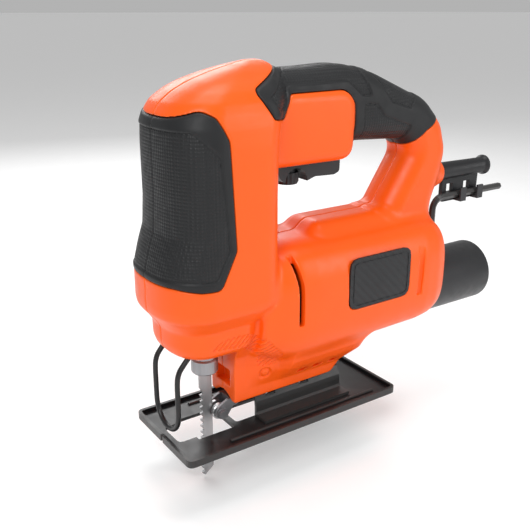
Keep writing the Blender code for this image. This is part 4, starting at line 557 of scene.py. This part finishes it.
# --- grips ----------------------------------------------------------------------------------------
joint_face = 0.08 - y
GRIP_PROUD = 0.35
GRIP_DEPTH = 2.0
PANEL_SUNK = 0.6
for part, edge in (("front", front_edge), ("handle", handle_edge)):
    panel = panels[part]
    groove = np.clip(1.0 - np.abs(panel + 0.5) / 0.7, 0.0, 1.0)
    sunk = PANEL_SUNK * np.clip(-panel / 0.6, 0.0, 1.0) + PANEL_SUNK * groove
    skin = carved(body - GRIP_PROUD + sunk, edge + 0.1, 1.2)
    skin = carved(skin, -(body + GRIP_DEPTH), 0.3)
    skin = carved(skin, joint_face, 0.6)
    points, faces = surface(skin)
    values = np.clip(-flat_sample(panel, points) / 1.0, 0.0, 1.0)
    for label, side in (("left", -1.0), ("right", 1.0)):
        sided(f"{part}_rubber_{label}", points, faces, side, "grip_rubber", f"{part}_grip_{label}", values)
del skin

# --- housing --------------------------------------------------------------------------------------
# The shells are solid apart from these openings.
PLUNGER_X = -4.0
POCKET_DEPTH = 2.6
VENT_WALL = 4.6
RELIEF_DEPTH = 0.9
NOTCH_DEPTH = 2.2
pocket = np.minimum(front_edge, handle_edge)
shell = without(body, np.maximum(pocket - 0.2, -(body + POCKET_DEPTH)), 0.7)
nose_hole = np.maximum(np.hypot(x - PLUNGER_X, y) - 8.6, z - 76.0)
arch_channel = np.hypot(across, z - 9.0) - 11.9
bracket_slot = np.maximum(np.maximum(x - 14.0, across - 7.5), np.abs(z - 31.0) - 5.0)
dust_socket = np.maximum(np.hypot(across, z - 55.5) - 16.4, 148.0 - x)
cord_bore = np.maximum(np.hypot(across, z - 130.5) - 6.8, 156.0 - x)
trigger_well = np.maximum(np.maximum(np.abs(x - 61.95) - 23.4, across - 8.8), np.abs(z - 156.0) - 12.0)
openings = [nose_hole, arch_channel, bracket_slot, dust_socket, cord_bore, trigger_well]
VENT = rounded(
    (
        (34.6, 110.4, 1.0), (37.6, 110.4, 1.0), (42.0, 88.0, 30.0), (42.0, 65.0, 1.2), (38.7, 65.0, 1.2),
        (38.5, 88.0, 30.0),
    ),
    1.0,
)
REAR_SLOT = rounded(((130.2, 98.0), (134.6, 98.0), (132.8, 64.5), (128.6, 64.5)), 1.2)
openings.append(np.maximum(region(VENT), 24.0 - across))
behind_vent = np.maximum(np.maximum(body + VENT_WALL, np.abs(x - 38.0) - 9.0), np.abs(z - 88.0) - 26.0)
openings.append(behind_vent)
openings.append(np.maximum(region(REAR_SLOT), 32.6 - across))
low, high = in_mm(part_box("badge_left"))
BADGE_GAP = 0.4
badge_front, badge_rear = low.x - BADGE_GAP, high.x + BADGE_GAP
badge_foot, badge_top = low.z - BADGE_GAP, high.z + BADGE_GAP
badge = rounded(
    (
        (badge_front, badge_foot), (badge_rear, badge_foot),
        (badge_rear, badge_top), (badge_front, badge_top),
    ),
    6.3,
)
openings.append(np.maximum(region(badge), 33.2 - across))
for start, width in ((50.5, 8.0), (62.0, 8.0), (74.5, 8.4)):
    notch = ((start, 25.8), (start + 0.62 * width, 25.8), (start + width, 28.9), (start + 0.3, 28.9))
    openings.append(np.maximum(region(rounded(notch, 0.6)), -(body + NOTCH_DEPTH)))
HATCH = rounded(
    (
        (-15.0, 60.6), (-4.8, 65.6), (9.0, 65.4), (21.0, 59.6), (33.0, 46.6), (33.0, 37.8), (22.6, 37.8),
        (21.0, 47.6), (5.5, 58.4),
    ),
    1.5,
)
stripe = np.abs(((x - z) / 3.5) % 1.0 - 0.5) * 2.5 - 0.62
openings.append(np.maximum(np.maximum(region(HATCH), stripe), -(body + RELIEF_DEPTH)))
RING_X, RING_Z = 27.3, 32.6
ring_area = np.maximum(np.maximum(np.abs(x - RING_X), np.abs(z - RING_Z)) - 4.4, -(body + RELIEF_DEPTH))
ring = np.abs(np.hypot(x - RING_X, z - RING_Z) - 2.8) - 0.7
openings.append(np.maximum(ring_area, ring))
for opening in openings:
    shell = without(shell, opening, 0.5)
shell = carved(shell, joint_face, 0.7)
points, faces = surface(shell)
sided("shell_left", points, faces, -1.0, "housing_orange", "housing_left")


def bored(field, box, radius, floor_y):
    """The field with a round hole along Y, about a CAD piece's middle, that ends at floor_y."""
    low, high = in_mm(box)
    hole = np.hypot(x - 0.5 * (low.x + high.x), z - 0.5 * (low.z + high.z)) - radius
    return without(field, np.maximum(hole, floor_y - y), 0.6)


# Only the right half has the lock button and the screws' heads.
shell = bored(shell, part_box("lock_button"), 5.2, 10.0)
for number in range(1, 7):
    shell = bored(shell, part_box(f"housing_screw_{number}"), 3.7, 9.0)
points, faces = surface(shell)
sided("shell_right", points, faces, 1.0, "housing_orange", "housing_right")
del shell, body, openings


# --- turned and bent pieces ---------------------------------------------------------------------
def shown(name, mesh, body_name, look, *stood_for):
    """An object for a mesh, that rides a body and stands for CAD nodes."""
    mesh.materials.clear()
    mesh.materials.append(LOOKS[look])
    made = bpy.data.objects.new(name, mesh)
    bpy.context.scene.collection.objects.link(made)
    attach(made, body_name)
    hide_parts(*stood_for)
    return made


def lathe(name, profile, level, steps=96):
    """A closed profile of (radius, x) points, turned about an axis along X at a height."""
    ring = [math.tau * step / steps for step in range(steps)]
    points = [
        (at, radius * math.cos(a), level + radius * math.sin(a)) for radius, at in profile for a in ring
    ]
    faces = []
    for row in range(len(profile)):
        here = row * steps
        after = (row + 1) % len(profile) * steps
        for step in range(steps):
            beside = (step + 1) % steps
            faces.append((here + step, here + beside, after + beside, after + step))
    mesh = bpy.data.meshes.new(name)
    mesh.from_pydata([tuple(c * MM for c in point) for point in points], [], faces)
    return tidy_mesh(mesh)


def tidy_mesh(mesh, angle=32.0):
    """Outward normals, smooth faces, and hard edges above an angle."""
    work = bmesh.new()
    work.from_mesh(mesh)
    bmesh.ops.recalc_face_normals(work, faces=work.faces)
    for face in work.faces:
        face.smooth = True
    for edge in work.edges:
        if len(edge.link_faces) == 2 and edge.calc_face_angle(0.0) > math.radians(angle):
            edge.smooth = False
    work.to_mesh(mesh)
    work.free()
    return mesh


def bent(name, path, radius, sides=20):
    """A round bar of a radius along a smoothed path, all in millimetres."""
    path = np.array(path, float)
    for _ in range(3):
        cut = np.empty((2 * len(path) - 2, 3))
        cut[0::2] = 0.75 * path[:-1] + 0.25 * path[1:]
        cut[1::2] = 0.25 * path[:-1] + 0.75 * path[1:]
        path = np.vstack((path[:1], cut, path[-1:]))
    curve = bpy.data.curves.new(name, "CURVE")
    curve.dimensions = "3D"
    curve.bevel_depth = radius * MM
    curve.bevel_resolution = sides // 4
    curve.use_fill_caps = True
    spline = curve.splines.new("POLY")
    spline.points.add(len(path) - 1)
    for target, point in zip(spline.points, path):
        target.co = (*(point * MM), 1.0)
    carrier = bpy.data.objects.new(name, curve)
    bpy.context.scene.collection.objects.link(carrier)
    bpy.context.view_layer.update()
    mesh = bpy.data.meshes.new_from_object(carrier.evaluated_get(bpy.context.evaluated_depsgraph_get()))
    bpy.data.objects.remove(carrier)
    return tidy_mesh(mesh)


low, high = in_mm(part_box("dust_outlet"))
tube_z = 0.5 * (low.z + high.z)
tube_r = 0.5 * (high.y - low.y)
end = high.x
outlet = [
    (tube_r - 0.3, 141.0), (tube_r, end - 1.0), (tube_r - 0.15, end - 0.35), (tube_r - 0.5, end),
    (tube_r - 1.8, end), (tube_r - 2.2, end - 0.4), (tube_r - 2.3, 172.5), (tube_r - 4.0, 171.4),
    (14.6, 171.2), (14.0, 170.6), (13.8, 157.0), (15.9, 157.0), (15.9, 166.0), (tube_r - 2.6, 166.4),
    (tube_r - 2.6, 141.0),
]
shown("dust_tube", lathe("dust_tube", outlet, tube_z, 128), "housing", "black_plastic", "dust_outlet")

WIRE_RADIUS = 1.5
low, high = in_mm(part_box("guard_wire"))
span = 0.5 * (high.y - low.y) - WIRE_RADIUS
bottom = low.z + WIRE_RADIUS
plane = low.x + WIRE_RADIUS
leg = [(high.x + 1.0, 64.0), (plane + 3.0, 50.0), (plane + 0.9, 46.4), (plane, 42.0), (plane, 30.0)]
path = [(px, span, pz) for px, pz in leg]
for step in range(13):
    angle = math.pi * step / 12.0
    path.append((plane, span * math.cos(angle), bottom + span * (1.0 - math.sin(angle))))
path += [(px, -span, pz) for px, pz in reversed(leg)]
shown("wire_loop", bent("wire_loop", path, WIRE_RADIUS), "housing", "black_steel", "guard_wire")

low, high = in_mm(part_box("cord_sleeve"))
sleeve = [
    (3.6, 157.0), (8.4, 157.0), (8.4, 159.0), (6.2, 159.2), (6.2, 168.0), (6.1, 172.0), (5.3, high.x - 4.4),
    (5.6, high.x - 3.4), (6.5, high.x - 2.0), (6.75, high.x - 1.4), (6.7, high.x - 0.4), (6.3, high.x),
    (4.6, high.x), (3.9, high.x - 0.8), (3.6, high.x - 2.5),
]
shown("sleeve_tube", lathe("sleeve_tube", sleeve, 130.5), "housing", "black_plastic", "cord_sleeve")
# The clip under the sleeve is the CAD node's own lower part.
CLIP_TOP = 0.1262
clip = bmesh.new()
clip.from_mesh(nodes["cord_sleeve"].data)
above = [v for v in clip.verts if v.co.z > CLIP_TOP]
bmesh.ops.delete(clip, geom=above, context="VERTS")
clip_mesh = bpy.data.meshes.new("key_clip")
clip.to_mesh(clip_mesh)
clip.free()
shown("key_clip", clip_mesh, "housing", "black_plastic", "cord_sleeve")

# --- finer edges on the CAD pieces that are seen ------------------------------------------------
for name, width in (
    ("shoe_plate", 0.35), ("bevel_arch", 0.25), ("trigger", 0.5), ("clamp_collar", 0.3),
    ("roller_bracket", 0.4),
    ("speed_dial", 0.3), ("cord_clamp", 0.3), ("badge_left", 0.3), ("badge_right", 0.3), ("clamp_bar", 0.3),
    ("lock_button", 0.3), ("guide_roller", 0.25), ("roller_pin", 0.25),
):
    flat = nodes[name].modifiers.new("flat", "DECIMATE")
    flat.decimate_type = "DISSOLVE"
    flat.angle_limit = math.radians(1.0)
    soft = nodes[name].modifiers.new("soft", "BEVEL")
    soft.width = width * MM
    soft.segments = 2
    soft.angle_limit = math.radians(40.0)
    soft.harden_normals = False

# --- floor, light and camera ------------------------------------------------------------------------
floor_z = cad_box[0][2] - 0.0008
floor_mesh = bpy.data.meshes.new("floor")
sheet = bmesh.new()
bmesh.ops.create_grid(sheet, x_segments=2, y_segments=2, size=60.0)
bmesh.ops.translate(sheet, vec=(0.0, 0.0, floor_z), verts=sheet.verts)
sheet.to_mesh(floor_mesh)
sheet.free()
floor = bpy.data.objects.new("floor", floor_mesh)
bpy.context.scene.collection.objects.link(floor)
pale = node_material("pale_floor", (0.95, 0.95, 0.95), 0.9, vary=0.01, strength=0.05)
pale_shader = pale.node_tree.nodes["Principled BSDF"]
pale_shader.inputs["Emission Color"].default_value = (1.0, 1.0, 1.0, 1.0)
pale_shader.inputs["Emission Strength"].default_value = 0.08
floor_mesh.materials.append(pale)

bpy.context.scene.view_settings.view_transform = "Standard"
world = bpy.data.worlds.new("studio")
bpy.context.scene.world = world
world.use_nodes = True
backdrop = world.node_tree.nodes["Background"]
backdrop.inputs["Color"].default_value = (1.0, 1.0, 1.0, 1.0)
backdrop.inputs["Strength"].default_value = 0.45

MIDDLE = Vector((0.06, 0.0, 0.1))


def lamp(name, place, size, power):
    """A soft rectangular lamp that points at the middle of the object."""
    data = bpy.data.lights.new(name, "AREA")
    data.shape = "RECTANGLE"
    data.size, data.size_y = size
    data.energy = power
    made = bpy.data.objects.new(name, data)
    made.location = place
    made.rotation_euler = (MIDDLE - Vector(place)).to_track_quat("-Z", "Y").to_euler()
    bpy.context.scene.collection.objects.link(made)


lamp("key", (-0.55, -0.55, 0.75), (0.45, 0.45), 5.6)
lamp("top", (0.15, 0.05, 1.1), (0.8, 0.3), 4.4)
lamp("side", (0.7, -0.8, 0.45), (0.2, 0.7), 3.2)
lamp("back", (0.3, 0.9, 0.6), (0.8, 0.3), 3.6)

# The camera was fitted to the photograph.
CAMERA_PLACE = (-0.18798, -0.33038, 0.23225)
CAMERA_AZIMUTH = math.radians(-34.36)
CAMERA_ELEVATION = math.radians(19.26)
LENS = 49.73
lens_data = bpy.data.cameras.new("camera")
lens_data.sensor_width = 36.0
lens_data.lens = LENS
camera = bpy.data.objects.new("camera", lens_data)
camera.location = CAMERA_PLACE
level = math.cos(CAMERA_ELEVATION)
aim_x = -math.sin(CAMERA_AZIMUTH) * level
aim_y = math.cos(CAMERA_AZIMUTH) * level
aim = Vector((aim_x, aim_y, -math.sin(CAMERA_ELEVATION)))
camera.rotation_euler = aim.to_track_quat("-Z", "Y").to_euler()
bpy.context.scene.collection.objects.link(camera)
bpy.context.scene.camera = camera
